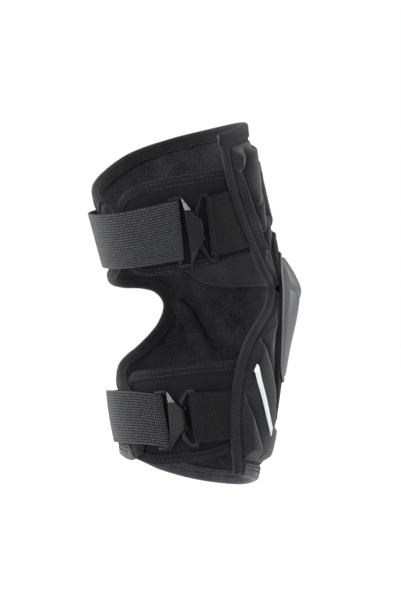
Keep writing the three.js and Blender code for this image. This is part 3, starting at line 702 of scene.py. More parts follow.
def distance_to_line(s, angle, line):
    """Millimetres along the surface to the nearest of a line's points, and that point's number."""
    degree = degree_length(s)
    gaps = [np.hypot(s - a, (angle - b) * degree) for a, b in line[:, :2]]
    gaps = np.stack(gaps, axis=-1)
    return gaps.min(axis=-1), gaps.argmin(axis=-1)


def slack_fold(s, angle):
    """Depth of the roll of slack cloth inside the far wall: a crest along a line, steep towards the
    front above a crease, and falling away slowly on the other side."""
    keys = np.arange(len(FOLD_LINE[0]))
    fine = np.linspace(0, keys[-1], FOLD_POINTS)
    line = np.stack([smooth(keys, column)(fine) for column in FOLD_LINE], axis=-1)
    far, nearest = distance_to_line(s, angle, line)
    run = np.gradient(line[:, :2], axis=0)[nearest]
    ahead = run[..., 0] * (angle - line[nearest, 1]) - run[..., 1] * (s - line[nearest, 0]) > 0
    height = line[nearest, 2]
    steep = np.sqrt(np.clip(1 - (far / FOLD_STEEP) ** 2, 0, 1))
    slow = np.clip(1 - (far / FOLD_SLOW) ** 2, 0, 1) ** 0.8
    ends = step_between(nearest, 0, 12) * (1 - step_between(nearest, 100, FOLD_POINTS - 1))
    crease = CREASE_DEPTH * bell(far, CREASE_AT, CREASE_WIDTH) * ends
    return np.where(ahead, crease - height * steep, -height * slow)


def build_sleeve(settings):
    """Neoprene sleeve: the net of its four edges between two depths, with soft ripples and the
    slack fold."""
    s, angle = sleeve_net(*SLEEVE_GRID)
    around = angle * degree_length(s)
    wave = settings.cloth_ripple / MM * ripple(s, around, LONG_WAVE, SEED)
    fine = SHORT_WAVE_HEIGHT * ripple(s, around, SHORT_WAVE, SEED + 1)
    inner = wave + fine + slack_fold(s, angle)
    outer = SLEEVE_WALL + OUTER_WAVE_SHARE * wave
    piece = make_piece(
        "sleeve_cloth", layer(s, angle, outer, inner), "loop_faced_neoprene",
        ("sleeve",), uv=twice(around, s),
    )


def tape_profile(reach, thickness):
    """Folded tape as pairs of across and depth: straight legs on both faces joined by a half circle
    past the edge, then back along the inside of the fold, thinner at the two cut ends."""
    bow = SLEEVE_WALL / 2 + TAPE_GAP
    leg = np.linspace(reach, TAPE_TURN, TAPE_LEG)
    turn = np.linspace(-np.pi / 2, -3 * np.pi / 2, TAPE_ARC)[1:-1]
    taper = thickness * np.concatenate([[0.7], np.ones(TAPE_LEG - 1)])

    def pairs(across, depth):
        return np.stack(np.broadcast_arrays(across, depth), axis=-1)

    def arc(radius):
        across, depth = radius * np.cos(turn), radius * np.sin(turn)
        return pairs(TAPE_TURN + across, SLEEVE_WALL / 2 + depth)

    outer_leg = pairs(leg, SLEEVE_WALL + TAPE_GAP + taper)
    outside = np.vstack([pairs(leg, -TAPE_GAP - taper), arc(bow + thickness), outer_leg[::-1]])
    inner_leg = pairs(leg, -TAPE_GAP)
    inside = np.vstack([pairs(leg, SLEEVE_WALL + TAPE_GAP), arc(bow)[::-1], inner_leg[::-1]])
    return np.vstack([outside, inside]), len(outside)


# Edge tapes: the edge, how far they reach over the cloth, thickness, shares of the edge between
# which they run, stations added before the first, pucker, rows of sewing and finish
TAPES = {
    "near_binding": {
        "edge": "near", "reach": 4.7, "thick": 1.2, "from": 0.0, "to": 0.972, "added": 0,
        "pucker": 0.2, "sewn": (3.4,), "finish": "knit_binding_tape",
    },
    "back_binding": {
        "edge": "back", "reach": 6.4, "thick": 1.5, "from": 0.0, "to": 1.0, "added": 0,
        "pucker": 0.2, "sewn": (4.9,), "finish": "knit_binding_tape",
    },
    "top_hem": {
        "edge": "top", "reach": 9.0, "thick": 0.9, "from": 0.0, "to": 0.976, "added": 2,
        "pucker": 0.15, "sewn": (4.6, 7.4), "finish": "knit_binding_tape",
    },
    # Painted highlight: the bottom hem takes a paler copy of the tape for the light that falls on
    # it
    "bottom_hem": {
        "edge": "bottom", "reach": 9.0, "thick": 0.9, "from": 0.024, "to": 0.976, "added": 0,
        "pucker": 0.15, "sewn": (4.6, 7.4), "finish": "brushed_hem_tape",
    },
}


def build_tape(name):
    """Edge tape: the folded profile carried along an edge, pinched a little between the
    stitches."""
    row = TAPES[name]
    edge = EDGES[row["edge"]]
    line = edge(np.linspace(row["from"], row["to"], int(edge.length / TAPE_STEP)))
    added = np.arange(row["added"], 0, -1)[:, None]
    line = np.vstack([line[0] - (line[1] - line[0]) * added, line])
    profile, outside = tape_profile(row["reach"], row["thick"])
    across, middle = profile[:, 0], SLEEVE_WALL / 2
    s, angle = beside(line, INSIDE[row["edge"]], across)
    run = TAPE_STEP * np.arange(len(line))[:, None]
    pinch = ripple(run, across * 0.4, TAPE_PUCKER_LENGTH, SEED + 2)
    pinch = row["pucker"] * (pinch + 0.5 * np.cos(2 * np.pi * run / TAPE_STITCH_LENGTH))
    face = (np.arange(len(profile)) < outside) * np.sign(profile[:, 1] - middle)
    pulled = sum(SEAM_DIP * bell(across, at, SEAM_WIDTH) for at in row["sewn"])
    depth = profile[:, 1] + (pinch * step_between(row["reach"] - across, 0, 3) - pulled) * face
    uv = np.broadcast_arrays(run, np.arange(len(profile)) * 0.8)
    uv = np.stack(uv, axis=-1).reshape(-1, 2)
    piece = make_piece(
        f"{name}_tape", tube(leg_point(s, angle, depth)), row["finish"], (name,),
        uv=np.vstack([uv, uv[:1], uv[-1:]]),
    )
    length = run_length(leg_point(line[:, 0], line[:, 1], middle))[-1]


def leaf_ribs(s, angle):
    """Height of the thigh pad's ribs, from 0 to 1: rounded leaves along lines, the same on both
    sides."""
    height = np.zeros(s.shape)
    share = np.linspace(0, 1, 40)
    for along, around, half in THIGH_LEAVES:
        keys = np.linspace(0, 1, len(along))
        line = np.stack([smooth(keys, along)(share), smooth(keys, around)(share)], axis=-1)
        far, nearest = distance_to_line(s, np.abs(angle), line)
        width = half * (4 * share * (1 - share) + 0.02) ** 0.6
        crown = np.clip(1 - (far / width[nearest]) ** 2, 0, 1) ** 0.75
        height = np.maximum(height, crown * (0.7 + 0.3 * half / WIDE_LEAF))
    return height


def chevron_ribs(s, angle):
    """Height of the shin pad's ribs, from 0 to 1: each climbs steeply from its groove and falls
    away slowly."""
    slope, pitch, start, climb = SHIN_RIBS.values()
    share = np.mod((np.abs(angle) * degree_length(s) + slope * s - start) / pitch, 1)
    up = np.sin(np.pi / 2 * np.clip(share / climb, 0, 1))
    down = 1 - np.clip((share - climb) / (1 - climb), 0, 1) ** 1.6
    groove = np.minimum(share, 1 - share) * pitch
    return np.where(share < climb, up, down) - GROOVE_DIP * bell(groove, 0, GROOVE_WIDTH)


def thigh_pad_bottom(angle):
    """s of the thigh pad's straight lower edge."""
    return PAD_SPLIT["thigh"] + 0 * angle


def shin_pad_bottom(angle):
    """s of the shin pad's lower edge, beside the sleeve's."""
    return BOTTOM_S(angle) + SHIN_PAD_LIFT


# Pads: their ribs, lower edge and upper edge
PADS = {
    "thigh_pad": (leaf_ribs, thigh_pad_bottom, THIGH_PAD_TOP),
    "shin_pad": (chevron_ribs, shin_pad_bottom, PAD_SPLIT["shin"]),
}


def pad_depth(ribs, s, angle, low, high, rise):
    """Depth of a pad's cover: its ribs, faded out under the cap's plate, and rolled down at the
    pad's rim. With it, the distance from the rim, and 0 under the plate to 1 clear of it."""
    lowest, highest = BASE_OUTLINE[0][0], BASE_OUTLINE[0][-1]
    past_plate = np.maximum(np.abs(angle) - BASE_HALF(s), np.maximum(lowest - s, s - highest))
    from_side = (np.abs(PAD_SIDE(s)) - np.abs(angle)) * degree_length(s)
    above = (high - s) * np.where(high > highest, PAD_END_SHARE, 1)
    below = (s - low) * np.where(low < lowest, PAD_END_SHARE, 1)
    rim = np.minimum(from_side, np.minimum(above, below))
    off_plate = step_between(past_plate, 0.5, 7)
    crown = off_plate * step_between(rim, 0.3, 4) * (rise + PAD_SINK) * ribs(s, angle)
    cover = PAD_OUTER - PAD_SINK * off_plate + crown
    foot = PAD_INNER + PAD_FOOT
    return foot + (cover - foot) * rounded(rim, PAD_ROLL), rim, off_plate


def swell(piece, held, pressure, limit):
    """Blows a closed cover up by cloth simulation, with some points held as if sewn, and no point
    moved past a limit."""
    scene = bpy.context.scene
    piece.vertex_groups.new(name="sewn").add(np.flatnonzero(held).tolist(), 1.0, "REPLACE")
    cloth = piece.modifiers.new("swell", "CLOTH")
    for key, value in SWELL_CLOTH.items():
        setattr(cloth.settings, key, value)
    cloth.settings.vertex_group_mass = "sewn"
    cloth.settings.uniform_pressure_force = pressure
    cloth.settings.effector_weights.gravity = 0
    cloth.collision_settings.use_collision = False
    cloth.point_cache.frame_start, cloth.point_cache.frame_end = 1, SWELL_FRAMES
    for number in range(1, SWELL_FRAMES + 1):
        scene.frame_set(number)
    start = np.empty(len(piece.data.vertices) * 3, np.float32)
    piece.data.vertices.foreach_get("co", start)
    moved = np.empty_like(start)
    swollen = piece.evaluated_get(bpy.context.evaluated_depsgraph_get())
    swollen.data.vertices.foreach_get("co", moved)
    shift = (moved - start).reshape(-1, 3)
    length = np.linalg.norm(shift, axis=1, keepdims=True)
    shift *= np.minimum(1, limit / np.maximum(length, 1e-9))
    piece.modifiers.remove(cloth)
    piece.data.vertices.foreach_set("co", start + shift.ravel())
    piece.data.update()
    scene.frame_set(1)


def build_pad(name, settings):
    """Ribbed pad on the sleeve's front: a crowned cover over a flat back, swollen between its sewn
    grooves."""
    ribs, low, high = PADS[name]
    v, u = shares(*PAD_GRID, -1)
    bottom = low(u * PAD_SPREAD)
    s = bottom + (high - bottom) * v
    angle = u * np.abs(PAD_SIDE(s))
    around = angle * degree_length(s)
    depth, rim, off_plate = pad_depth(ribs, s, angle, bottom, high, settings.rib_height / MM)
    depth = depth + 0.1 * off_plate * ripple(s, around, 12.0, SEED + 3)
    piece = make_piece(
        f"{name}_cover", layer(s, angle, depth, PAD_INNER), "warp_knit_cover", (name,),
        uv=twice(around, s),
    )
    sewn = (rim < 3) | (ribs(s, angle) < 0.12) | (off_plate < 0.6)
    held = np.concatenate([sewn.ravel(), np.ones(s.size, bool)])
    swell(piece, held, settings.pad_pressure, settings.pad_swell)
    fine = piece.modifiers.new("fine", "SUBSURF")
    fine.levels = fine.render_levels = 1


def plate_places(outline, rows, columns, stretch=1.0):
    """Places on a plate that is the same on both sides: share across, s, angle, and distance from
    the rim."""
    v, u = shares(rows, columns, -1)
    low, high = outline[0][0], outline[0][-1]
    s = low + (high - low) * v + 0 * u
    half = smooth(*outline)(s)
    from_side = (1 - np.abs(u)) * half * degree_length(s) * stretch
    return u, s, u * half, np.minimum(from_side, np.minimum(s - low, high - s))


def build_cap_base():
    """Flexible plate under the cap: a rounded slab on the pads with a lip along its rim."""
    foot, roll = 0.5, 1.6
    _, s, angle, rim = plate_places(BASE_OUTLINE, 84, 70)
    lip = 0.35 * bell(rim, 2.6, 1.1) - 0.45 * bell(rim, 5.2, 0.7)
    rise = foot + (BASE_OUTER - BASE_INNER - foot) * rounded(rim, roll)
    make_piece(
        "cap_base_plate", layer(s, angle, BASE_INNER + rise + lip, BASE_INNER), "rubber_sheet",
        ("cap_base",), sharp=40,
    )


def build_knee_cap():
    """Moulded cap: a dome over a flat flange, with a groove inside the flange and a crease down
    from the peak, under a low shoulder."""
    foot, roll, wall = 0.3, 1.0, 3.0
    u, s, angle, rim = plate_places(CAP_OUTLINE, 126, 100, 1.15)
    around = np.abs(angle)
    flange = step_between(rim, 2.6, 4.6)
    crest = smooth(*CAP_RIDGE)(s) - CAP_RIM
    depth = CAP_RIM + crest * (1 - np.abs(u) ** CAP_FULLNESS) * flange
    depth -= 0.8 * bell(rim, 3.4, 0.7)
    above = s - (-7 + 15 * step_between(around, 5, 47))
    beside_peak = flange * step_between(around, 6, 26)
    depth -= 2.0 * bell(above, 0, 1.1) * beside_peak
    depth += step_between(above, 0, 5) * (1 - step_between(above, 5, 22)) * beside_peak
    seat = CAP_SEAT + foot
    outer = seat + (depth - seat) * rounded(rim, roll)
    inner = np.maximum(CAP_SEAT, depth - wall)
    make_piece(
        "knee_cap_shell", layer(s, angle, outer, inner), "moulded_polyethylene",
        ("knee_cap",), sharp=45,
    )


def build_stripe(rise):
    """Reflective tape: a flat strip with slanted ends, laid along a line on the shin pad's ribs."""
    run, across = np.linspace(0.05, 0.95, 120)[:, None], np.linspace(-0.5, 0.5, 12)[None, :]
    keys = np.linspace(0, 1, len(STRIPE_LINE[0]))
    line_s, line_angle = (smooth(keys, column) for column in STRIPE_LINE)
    where, step = run + STRIPE_SLANT * across, 0.01
    degree = degree_length(line_s(where))
    along = line_s(where + step) - line_s(where - step)
    around = line_angle(where + step) - line_angle(where - step)
    shift = across * STRIPE_WIDTH / np.hypot(along, around * degree)
    s = line_s(where) - around * degree * shift
    angle = line_angle(where) + along * shift / degree
    seat = pad_depth(chevron_ribs, s, angle, shin_pad_bottom(angle), PAD_SPLIT["shin"], rise)[0]
    seat = seat.max(axis=1, keepdims=True)
    make_piece(
        "reflective_stripe_tape", layer(s, angle, seat + STRIPE_TOP, seat + STRIPE_UNDER),
        "glass_bead_tape", ("reflective_stripe",), sharp=40, on="shin_pad_cover",
    )


def build_lining_patch():
    """Piece of lining behind the front, with a pinked lower edge: a row of teeth along a curve."""
    v, u = shares(22, PATCH_COLUMNS)
    angle = PATCH_FROM + (PATCH_TO - PATCH_FROM) * u + 0 * v
    tooth = np.abs(np.mod(np.arange(PATCH_COLUMNS) / PATCH_TOOTH_COLUMNS, 1) * 2 - 1)
    low = smooth(*PATCH_LOW)(angle) + PATCH_TOOTH_HEIGHT * tooth
    s = low + (PATCH_HIGH - low) * v**1.5
    around = angle * degree_length(s)
    wave = 0.15 * ripple(s, around, 30.0, SEED + 4)
    piece = make_piece(
        "lining_patch_cloth", layer(s, angle, PATCH_FACE + wave, PATCH_BACK + wave),
        "napped_lining", ("lining_patch",), uv=twice(around, s), sharp=50,
    )


def flap_places(name, rows, columns):
    """Places on a flap: between its lower and upper edge at each angle; and its outline."""
    angles, lows, highs = FLAPS[name]
    v, u = shares(rows, columns)
    angle = angles[0] + (angles[-1] - angles[0]) * u + 0 * v
    low, high = smooth(angles, lows)(angle), smooth(angles, highs)(angle)
    s = low + (high - low) * v
    outline = [
        np.concatenate([low[0], s[:, -1], high[0][::-1]]),
        np.concatenate([angle[0], angle[:, -1], angle[0][::-1]]),
    ]
    return s, angle, np.stack(outline, axis=-1)


def build_flap(name):
    """Stretch panel behind a closure: a thin knit sheet with a bound border that stands a little
    proud."""
    s, angle, outline = flap_places(name, 80, 112)
    rim, _ = distance_to_line(s, angle, outline[::3])
    around = angle * degree_length(s)
    border = 1 - step_between(rim, FLAP_BORDER - 1, FLAP_BORDER)
    seam = 0.35 * bell(rim, FLAP_BORDER, 0.6)
    wave = 0.25 * ripple(s, around, 26.0, SEED + 5)
    back = FLAP_BACK + wave - FLAP_BORDER_BACK * border
    thick = FLAP_FACE + FLAP_BORDER_RISE * border + wave - seam - back
    face = back + thick * (0.35 + 0.65 * rounded(rim, FLAP_ROLL))
    piece = make_piece(
        f"{name}_flap_cloth", layer(s, angle, face, back), "stretch_nylon_knit",
        (f"{name}_flap",), uv=twice(around, s),
    )


# Straps, webbing and hardware


def under_closure(closure, x, y):
    """The place on the leg under a point of a closure's own frame, x to the front and y up."""
    turn = math.radians(closure["turn"])
    degree = degree_length(closure["s"]) * CLOSURE_DEGREE
    s = closure["s"] + x * math.sin(turn) + y * math.cos(turn)
    return s, closure["angle"] + (x * math.cos(turn) - y * math.sin(turn)) / degree


def strap_places(name, run, y):
    """s, angle and depth of a strap's middle surface at a share of its length and a height on its
    width."""
    closure, (angles, lows, highs, middles) = CLOSURES[name], STRAPS[name]
    bar_s, bar_angle = under_closure(closure, BUCKLE_BAR, y)
    path = angles[0] + (angles[-1] - angles[0]) * run
    square = step_between(run, 0, STRAP_SQUARE_UP)
    angle = path + (bar_angle - angles[0]) * (1 - square)
    s = bar_s + (smooth(angles, middles)(path) + y - bar_s) * square
    share = y / closure["strap"] + 0.5
    low, high = smooth(angles, lows)(path), smooth(angles, highs)(path)
    return s, angle, low + (high - low) * share


def band_surface(s, angle, depth):
    """Middle surface of a band, its outward normals, and the length run along its middle row."""
    centre = leg_point(s, angle, depth)
    normal = unit(np.cross(np.gradient(centre, axis=0), np.gradient(centre, axis=1)))
    if normal[0, 0] @ (leg_point(s, angle, depth + 1) - centre)[0, 0] < 0:
        normal = -normal
    return centre, normal, run_length(centre[:, centre.shape[1] // 2])[:, None]


def build_strap(name):
    """Woven elastic: a band from the sewn end round the back to the buckle's bar, a loop round the
    bar, and a short tail back under the band; ridged along its rows of floats."""
    closure, angles = CLOSURES[name], STRAPS[name][0]
    width, degree = closure["strap"], float(degree_length(closure["s"]))
    length = abs(angles[-1] - angles[0]) * degree * 1.1
    y = np.linspace(-width / 2, width / 2, int(width / 0.5))[None, :]
    turn = np.linspace(0, np.pi, 16)[1:-1, None]
    tail = np.linspace(0, STRAP_TAIL / length, 24)[:, None]
    main = strap_places(name, np.linspace(1, 0, 124)[:, None], y)
    bar_s, bar_angle, bar_depth = strap_places(name, np.zeros((1, 1)), y)
    loop_angle = bar_angle + 2 * STRAP_BOW * np.sin(turn) / degree
    loop = (bar_s + 0 * turn, loop_angle, bar_depth - STRAP_BOW + STRAP_BOW * np.cos(turn))
    tail_s, tail_angle, tail_depth = strap_places(name, tail, y)
    tuck = step_between(tail, 0, STRAP_TUCK / length)
    tail_depth = tail_depth - 2 * STRAP_BOW + (2 * STRAP_BOW - STRAP_TAIL_GAP) * tuck
    rows = zip(main, loop, (tail_s, tail_angle, tail_depth))
    centre, normal, run = band_surface(*(np.vstack(parts) for parts in rows))
    inset = width / 2 - np.abs(y)
    ridge = STRAP_RIDGE * np.cos(2 * np.pi * y / STRAP_PITCH) * np.clip(inset / STRAP_EDGE, 0, 1)
    half = (STRAP_HALF * rounded(inset, STRAP_EDGE, EDGE_LEAST) + ridge)[..., None]
    piece = make_piece(
        f"{name}_strap_band", shell(centre + normal * half, centre - normal * half),
        "woven_elastic", (f"{name}_strap",), uv=twice(run, y), sharp=60,
    )


def build_webbing(name):
    """Ribbed webbing: from the bound edge over the ring's front bar, round it, and back beneath to
    the edge."""
    closure = CLOSURES[name]
    width, bow, level = closure["webbing"], WEBBING_BOW, WEBBING_LEVEL
    y = np.linspace(-width / 2, width / 2, int(width / 0.8))[None, :]
    eye_s, eye_angle = under_closure(closure, RING_FRONT, y)
    edge_s = eye_s + closure["rise"]
    edge_angle = NEAR_ANGLE(edge_s) - 3.0
    run = np.linspace(1, 0, 70)[:, None]
    over = WEBBING_OVER + (level + bow - WEBBING_OVER) * step_between(1 - run, -0.1, 1.0)
    under = WEBBING_UNDER + (level - bow - WEBBING_UNDER) * step_between(1 - run, 0.2, 1.0)
    s_line = eye_s + (edge_s - eye_s) * run
    a_line = eye_angle + (edge_angle - eye_angle) * run
    turn = np.linspace(0, np.pi, 18)[1:-1, None]
    a_loop = eye_angle - bow * np.sin(turn) / degree_length(closure["s"])
    s = np.vstack([s_line, eye_s + 0 * turn, s_line[::-1]])
    angle = np.vstack([a_line, a_loop, a_line[::-1]])
    depth = np.vstack([over, level + bow * np.cos(turn), under[::-1]]) + 0 * y
    centre, normal, length = band_surface(s, angle, depth)
    ridge = WEBBING_RIDGE * np.cos(2 * np.pi * length / WEBBING_PITCH)
    inset = width / 2 - np.abs(y)
    half = (WEBBING_HALF * rounded(inset, WEBBING_EDGE, EDGE_LEAST) + ridge)[..., None]
    piece = make_piece(
        f"{name}_webbing_band", shell(centre + normal * half, centre - normal * half),
        "ribbed_webbing", (f"{name}_webbing",), uv=twice(y, length), sharp=60,
    )


def closure_frame(closure):
    """A closure's own frame on the leg: its origin, and its axes x to the front, y up and z out as
    columns."""
    s, angle = closure["s"], closure["angle"]
    round_leg = unit(leg_point(s, angle + 1, 0) - leg_point(s, angle - 1, 0))
    up = leg_point(s + 1, angle, 0) - leg_point(s - 1, angle, 0)
    up = unit(up - round_leg * (up @ round_leg))
    cos, sin = math.cos(math.radians(closure["turn"])), math.sin(math.radians(closure["turn"]))
    axes = [round_leg * cos + up * sin, up * cos - round_leg * sin, np.cross(round_leg, up)]
    return leg_point(s, angle, 0), np.stack(axes, axis=-1)


def rounded_bar(start, end, across, half_sizes):
    """A bar with rounded edges and ends: a soft rectangle carried from start to end, drawn in at
    both ends."""
    start, end, across = (np.array(v, float) for v in (start, end, across))
    along = unit(end - start)
    other = np.cross(along, across)
    turn = np.linspace(0, 2 * np.pi, 25)[:-1]
    soft = [np.sign(f(turn)) * np.abs(f(turn)) ** 0.45 for f in (np.cos, np.sin)]
    inset, drawn = np.array([0, 0.125, 0.35, 0.6]), np.array([0.55, 0.85, 0.97, 1])
    place = np.concatenate([inset, np.linalg.norm(end - start) - inset[::-1]])
    drawn = np.concatenate([drawn, drawn[::-1]])
    sides = zip(soft, half_sizes, (across, other))
    section = sum(shape[:, None] * size * way for shape, size, way in sides)
    return tube(start + place[:, None, None] * along + section[None] * drawn[:, None, None])


def build_buckle(name):
    """Hook plate: a shield that slopes down at its two ends, with rounded edges, two rails with a
    bar between them behind it, and a hook beneath, all drawn in the closure's own frame."""
    closure = CLOSURES[name]
    inner = closure["strap"] / 2 + 0.5
    half = inner + 2.4
    rear, apex, apex_half, nose, facet_share = -6.5, 7.5, 7.5, 1.4, 0.42
    under, edge, crest = 3.1, 3.6, 7.6
    rear_bevel, front_bevel, side_bevel = 1.2, 2.4, 1.8
    v, u = shares(44, 80, -1)
    front = apex - nose * u**2
    x = rear + (front - rear) * v
    wide = half + (apex_half - half) * v
    slant = math.cos(math.atan((half - apex_half) / (apex - rear)))
    facet = np.clip((half - np.abs(u) * wide) / (facet_share * half), 0, 1)
    from_side = (1 - np.abs(u)) * wide * slant / side_bevel
    from_ends = np.minimum((x - rear) / rear_bevel, (front - x) / front_bevel)
    bevel = np.clip(np.minimum(from_ends, from_side), 0, 1)
    rise = np.minimum(facet, 1 - (1 - bevel) ** 2)
    top = np.stack([x, u * wide, edge + (crest - edge) * rise], axis=-1)
    bottom = np.stack([x, u * wide, under + 0 * x], axis=-1)
    bar, rail, hook, lip = BUCKLE_BAR, (inner + half) / 2, 6.3, 4.7
    # The bar, the two rails, the hook and its lip: start, end, side and half sizes
    bars = [
        ((bar, -half, BAR_LEVEL), (bar, half, BAR_LEVEL), (1, 0, 0), (1.3, 1.3)),
        ((bar - 1.7, -rail, 2.2), (rear + 1.2, -rail, 2.2), (0, 1, 0), (1.2, 2.0)),
        ((bar - 1.7, rail, 2.2), (rear + 1.2, rail, 2.2), (0, 1, 0), (1.2, 2.0)),
        ((hook, -9, 1.3), (hook, 9, 1.3), (1, 0, 0), (1.0, 2.9)),
        ((lip, -9, -0.9), (lip, 9, -0.9), (1, 0, 0), (2.1, 0.7)),
    ]
    parts = [shell(top, bottom), *(rounded_bar(*row) for row in bars)]
    points, faces = joined([outward(*part) for part in parts])
    origin, axes = closure_frame(closure)
    make_piece(
        f"{name}_hook_plate", (origin + points @ axes.T, faces), "moulded_nylon",
        (f"{name}_buckle",), sharp=32,
    )


def dress_ring(name):
    """Moulded nylon on a closure's ring, with its edges rounded."""
    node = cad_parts[f"{name}_ring"]
    node.data.materials.clear()
    node.data.materials.append(finish("moulded_nylon"))
    bevel = node.modifiers.new("edge", "BEVEL")
    bevel.width = 0.6 * MM
    bevel.segments = 3
    bevel.limit_method = "ANGLE"
    bevel.angle_limit = math.radians(20)
    bevel.harden_normals = True


# Stitching


def stitch_row(line, depth, way, spacing, length, thickness):
    """One row of stitches along a line of (s, angle): short capsules that dip into the cloth at
    both ends."""
    path = leg_point(line[:, 0], line[:, 1], depth)
    out = unit(leg_point(line[:, 0], line[:, 1], depth + way) - path)
    run = run_length(path)
    centres = np.arange(spacing / 2, run[-1] - spacing / 2, spacing)
    part = np.linspace(-0.5, 0.5, STITCH_RINGS)
    where = centres[:, None] + part * length
    points, normal = (
        np.stack([np.interp(where, run, rows[:, k]) for k in range(3)], axis=-1)
        for rows in (path, out)
    )
    side = np.cross(unit(np.gradient(points, axis=1)), normal)
    points, normal, side = (rows[:, :, None] for rows in (points, normal, side))
    turn = np.linspace(0, 2 * np.pi, STITCH_SIDES + 1)[:-1, None]
    rise = (thickness * (0.55 - 2.6 * part**2))[:, None, None]
    girth = (thickness / 2 * STITCH_TAPER)[:, None, None]
    rings = points + normal * rise + girth * (side * np.cos(turn) + normal * np.sin(turn))
    # Each end is closed by a quad and a triangle
    ends = [[4, 3, 2, 1], [4, 1, 0, 0], [20, 21, 22, 23], [23, 24, 20, 20]]
    one = np.vstack([grid_faces(STITCH_RINGS, STITCH_SIDES, wrap=True), ends])
    starts = np.arange(len(centres)) * STITCH_RINGS * STITCH_SIDES
    return rings.reshape(-1, 3), (one[None] + starts[:, None, None]).reshape(-1, 4)


def make_stitches(name, rows, settings, on, thread="spun_thread"):
    """One object for several rows of stitches; each row is a line of (s, angle), a depth, and 1 for
    out or -1 for in."""
    sizes = (settings.stitch_spacing, settings.stitch_length, settings.thread_size)
    sizes = [size / MM for size in sizes]
    surface = joined([outward(*stitch_row(*row, *sizes)) for row in rows])
    make_piece(name, surface, thread, on=on)


def tape_stitches(settings):
    """Rows of stitches along the four edge tapes, on both faces of the cloth."""
    for name, tape in TAPES.items():
        line = EDGES[tape["edge"]](np.linspace(tape["from"] + 0.01, tape["to"] - 0.01, 600))
        sunk = TAPE_GAP + tape["thick"] - TAPE_STITCH_SINK
        rows = []
        for distance in tape["sewn"]:
            row = np.hstack(beside(line, INSIDE[tape["edge"]], [distance]))
            rows += [(row, SLEEVE_WALL + sunk, 1), (row, -sunk, -1)]
        make_stitches(f"{name}_stitches", rows, settings, f"{name}_tape")


def flap_stitches(name, settings):
    """Two rows of stitches along a flap's bound border."""
    s, angle, outline = flap_places(name, 90, 130)
    middle = np.array([s.mean(), angle.mean()])

    def from_middle(line):
        return np.linalg.norm(line - middle, axis=1).mean()

    rows = []
    for inset in FLAP_STITCH_INSETS:
        sides = [np.hstack(beside(outline, way, [inset])) for way in (-1, 1)]
        rows.append((min(sides, key=from_middle), FLAP_STITCH_DEPTH, 1))
    make_stitches(f"{name}_flap_stitches", rows, settings, f"{name}_flap_cloth")


def patch_stitches(settings):
    """Overlock stitches along the lining patch's pinked edge: a zigzag that turns at each tooth."""
    angle = np.linspace(PATCH_FROM + 1, PATCH_TO - 1, 900)
    sway = 0.9 * np.abs(np.mod((angle - PATCH_FROM) / PATCH_TOOTH, 1) * 2 - 1)
    line = np.stack([smooth(*PATCH_LOW)(angle) + 1.4 + sway, angle], axis=-1)
    rows = [(line, PATCH_BACK - 0.15, -1)]
    make_stitches(
        "lining_patch_stitches", rows, settings, "lining_patch_cloth", "overlock_thread"
    )


def strap_stitches(name, settings):
    """The square with crossed corners that sews a strap's end to the sleeve."""
    angles, _, highs, middles = STRAPS[name]
    half = CLOSURES[name]["strap"] / 2 - SQUARE_INSET
    low, high = middles[-1] - half, middles[-1] + half
    left, right = angles[-1] + SQUARE_FROM, angles[-1] + SQUARE_TO
    square = [(low, left), (low, right), (high, right), (high, left)]
    corners = np.array([*square, *(square[k] for k in (0, 2, 1, 3))], float)
    share = np.linspace(0, 1, 60)[:, None]
    depth = highs[-1] + SQUARE_RISE
    rows = [(a + (b - a) * share, depth, 1) for a, b in zip(corners, corners[1:])]
    make_stitches(f"{name}_strap_stitches", rows, settings, f"{name}_strap_band")


# Stage


def build_floor(settings):
    """Pale paper floor, flat, under the guard."""
    side = np.linspace(-settings.floor_size / 2, settings.floor_size / 2, FLOOR_POINTS)
    level = np.full((FLOOR_POINTS, FLOOR_POINTS), CAD_BOX[0].z - settings.floor_drop)
    grid = np.stack([*np.meshgrid(side, side), level], axis=-1)
    mesh = bpy.data.meshes.new("studio_floor")
    faces = grid_faces(FLOOR_POINTS, FLOOR_POINTS)
    mesh.from_pydata(grid.reshape(-1, 3), [], faces.tolist())
    mesh.shade_smooth()
    material, tree = start_material("matte_white_paper")
    place = add_node(tree, "ShaderNodeTexCoord").outputs["Object"]
    white = linear("#f8f8f8")[:3]
    paper = shades(tree, noise(tree, place, 400.0), white, [(0.3, 0.97), (0.7, 1.0)])
    finish_material(tree, Base_Color=paper, Roughness=0.95, Specular_IOR_Level=0.1)
    mesh.materials.append(material)
    floor = bpy.data.objects.new("studio_floor", mesh)
    bpy.context.scene.collection.objects.link(floor)


def build_room(settings):
    """White room that lights the guard evenly, and is seen as plain white by the camera."""
    world = bpy.data.worlds.new("soft_studio")
    bpy.context.scene.world = world
    world.use_nodes = True
    tree = world.node_tree
    tree.nodes.clear()
    seen = add_node(tree, "ShaderNodeLightPath").outputs["Is Camera Ray"]
    room = add_node(tree, "ShaderNodeBackground", {"Strength": settings.room_light}).outputs[0]
    white = add_node(tree, "ShaderNodeBackground", {"Color": (1, 1, 1, 1)}).outputs[0]
    both = add_node(tree, "ShaderNodeMixShader", {0: seen, 1: room, 2: white}).outputs[0]
    add_node(tree, "ShaderNodeOutputWorld", {"Surface": both})


def aimed(name, data, spot, way):
    """A lamp or camera at a spot, looking one way."""
    made = bpy.data.objects.new(name, data)
    turned = way.to_track_quat("-Z", "Y").to_matrix().to_4x4()
    made.matrix_world = Matrix.Translation(spot) @ turned
    bpy.context.scene.collection.objects.link(made)
    return made


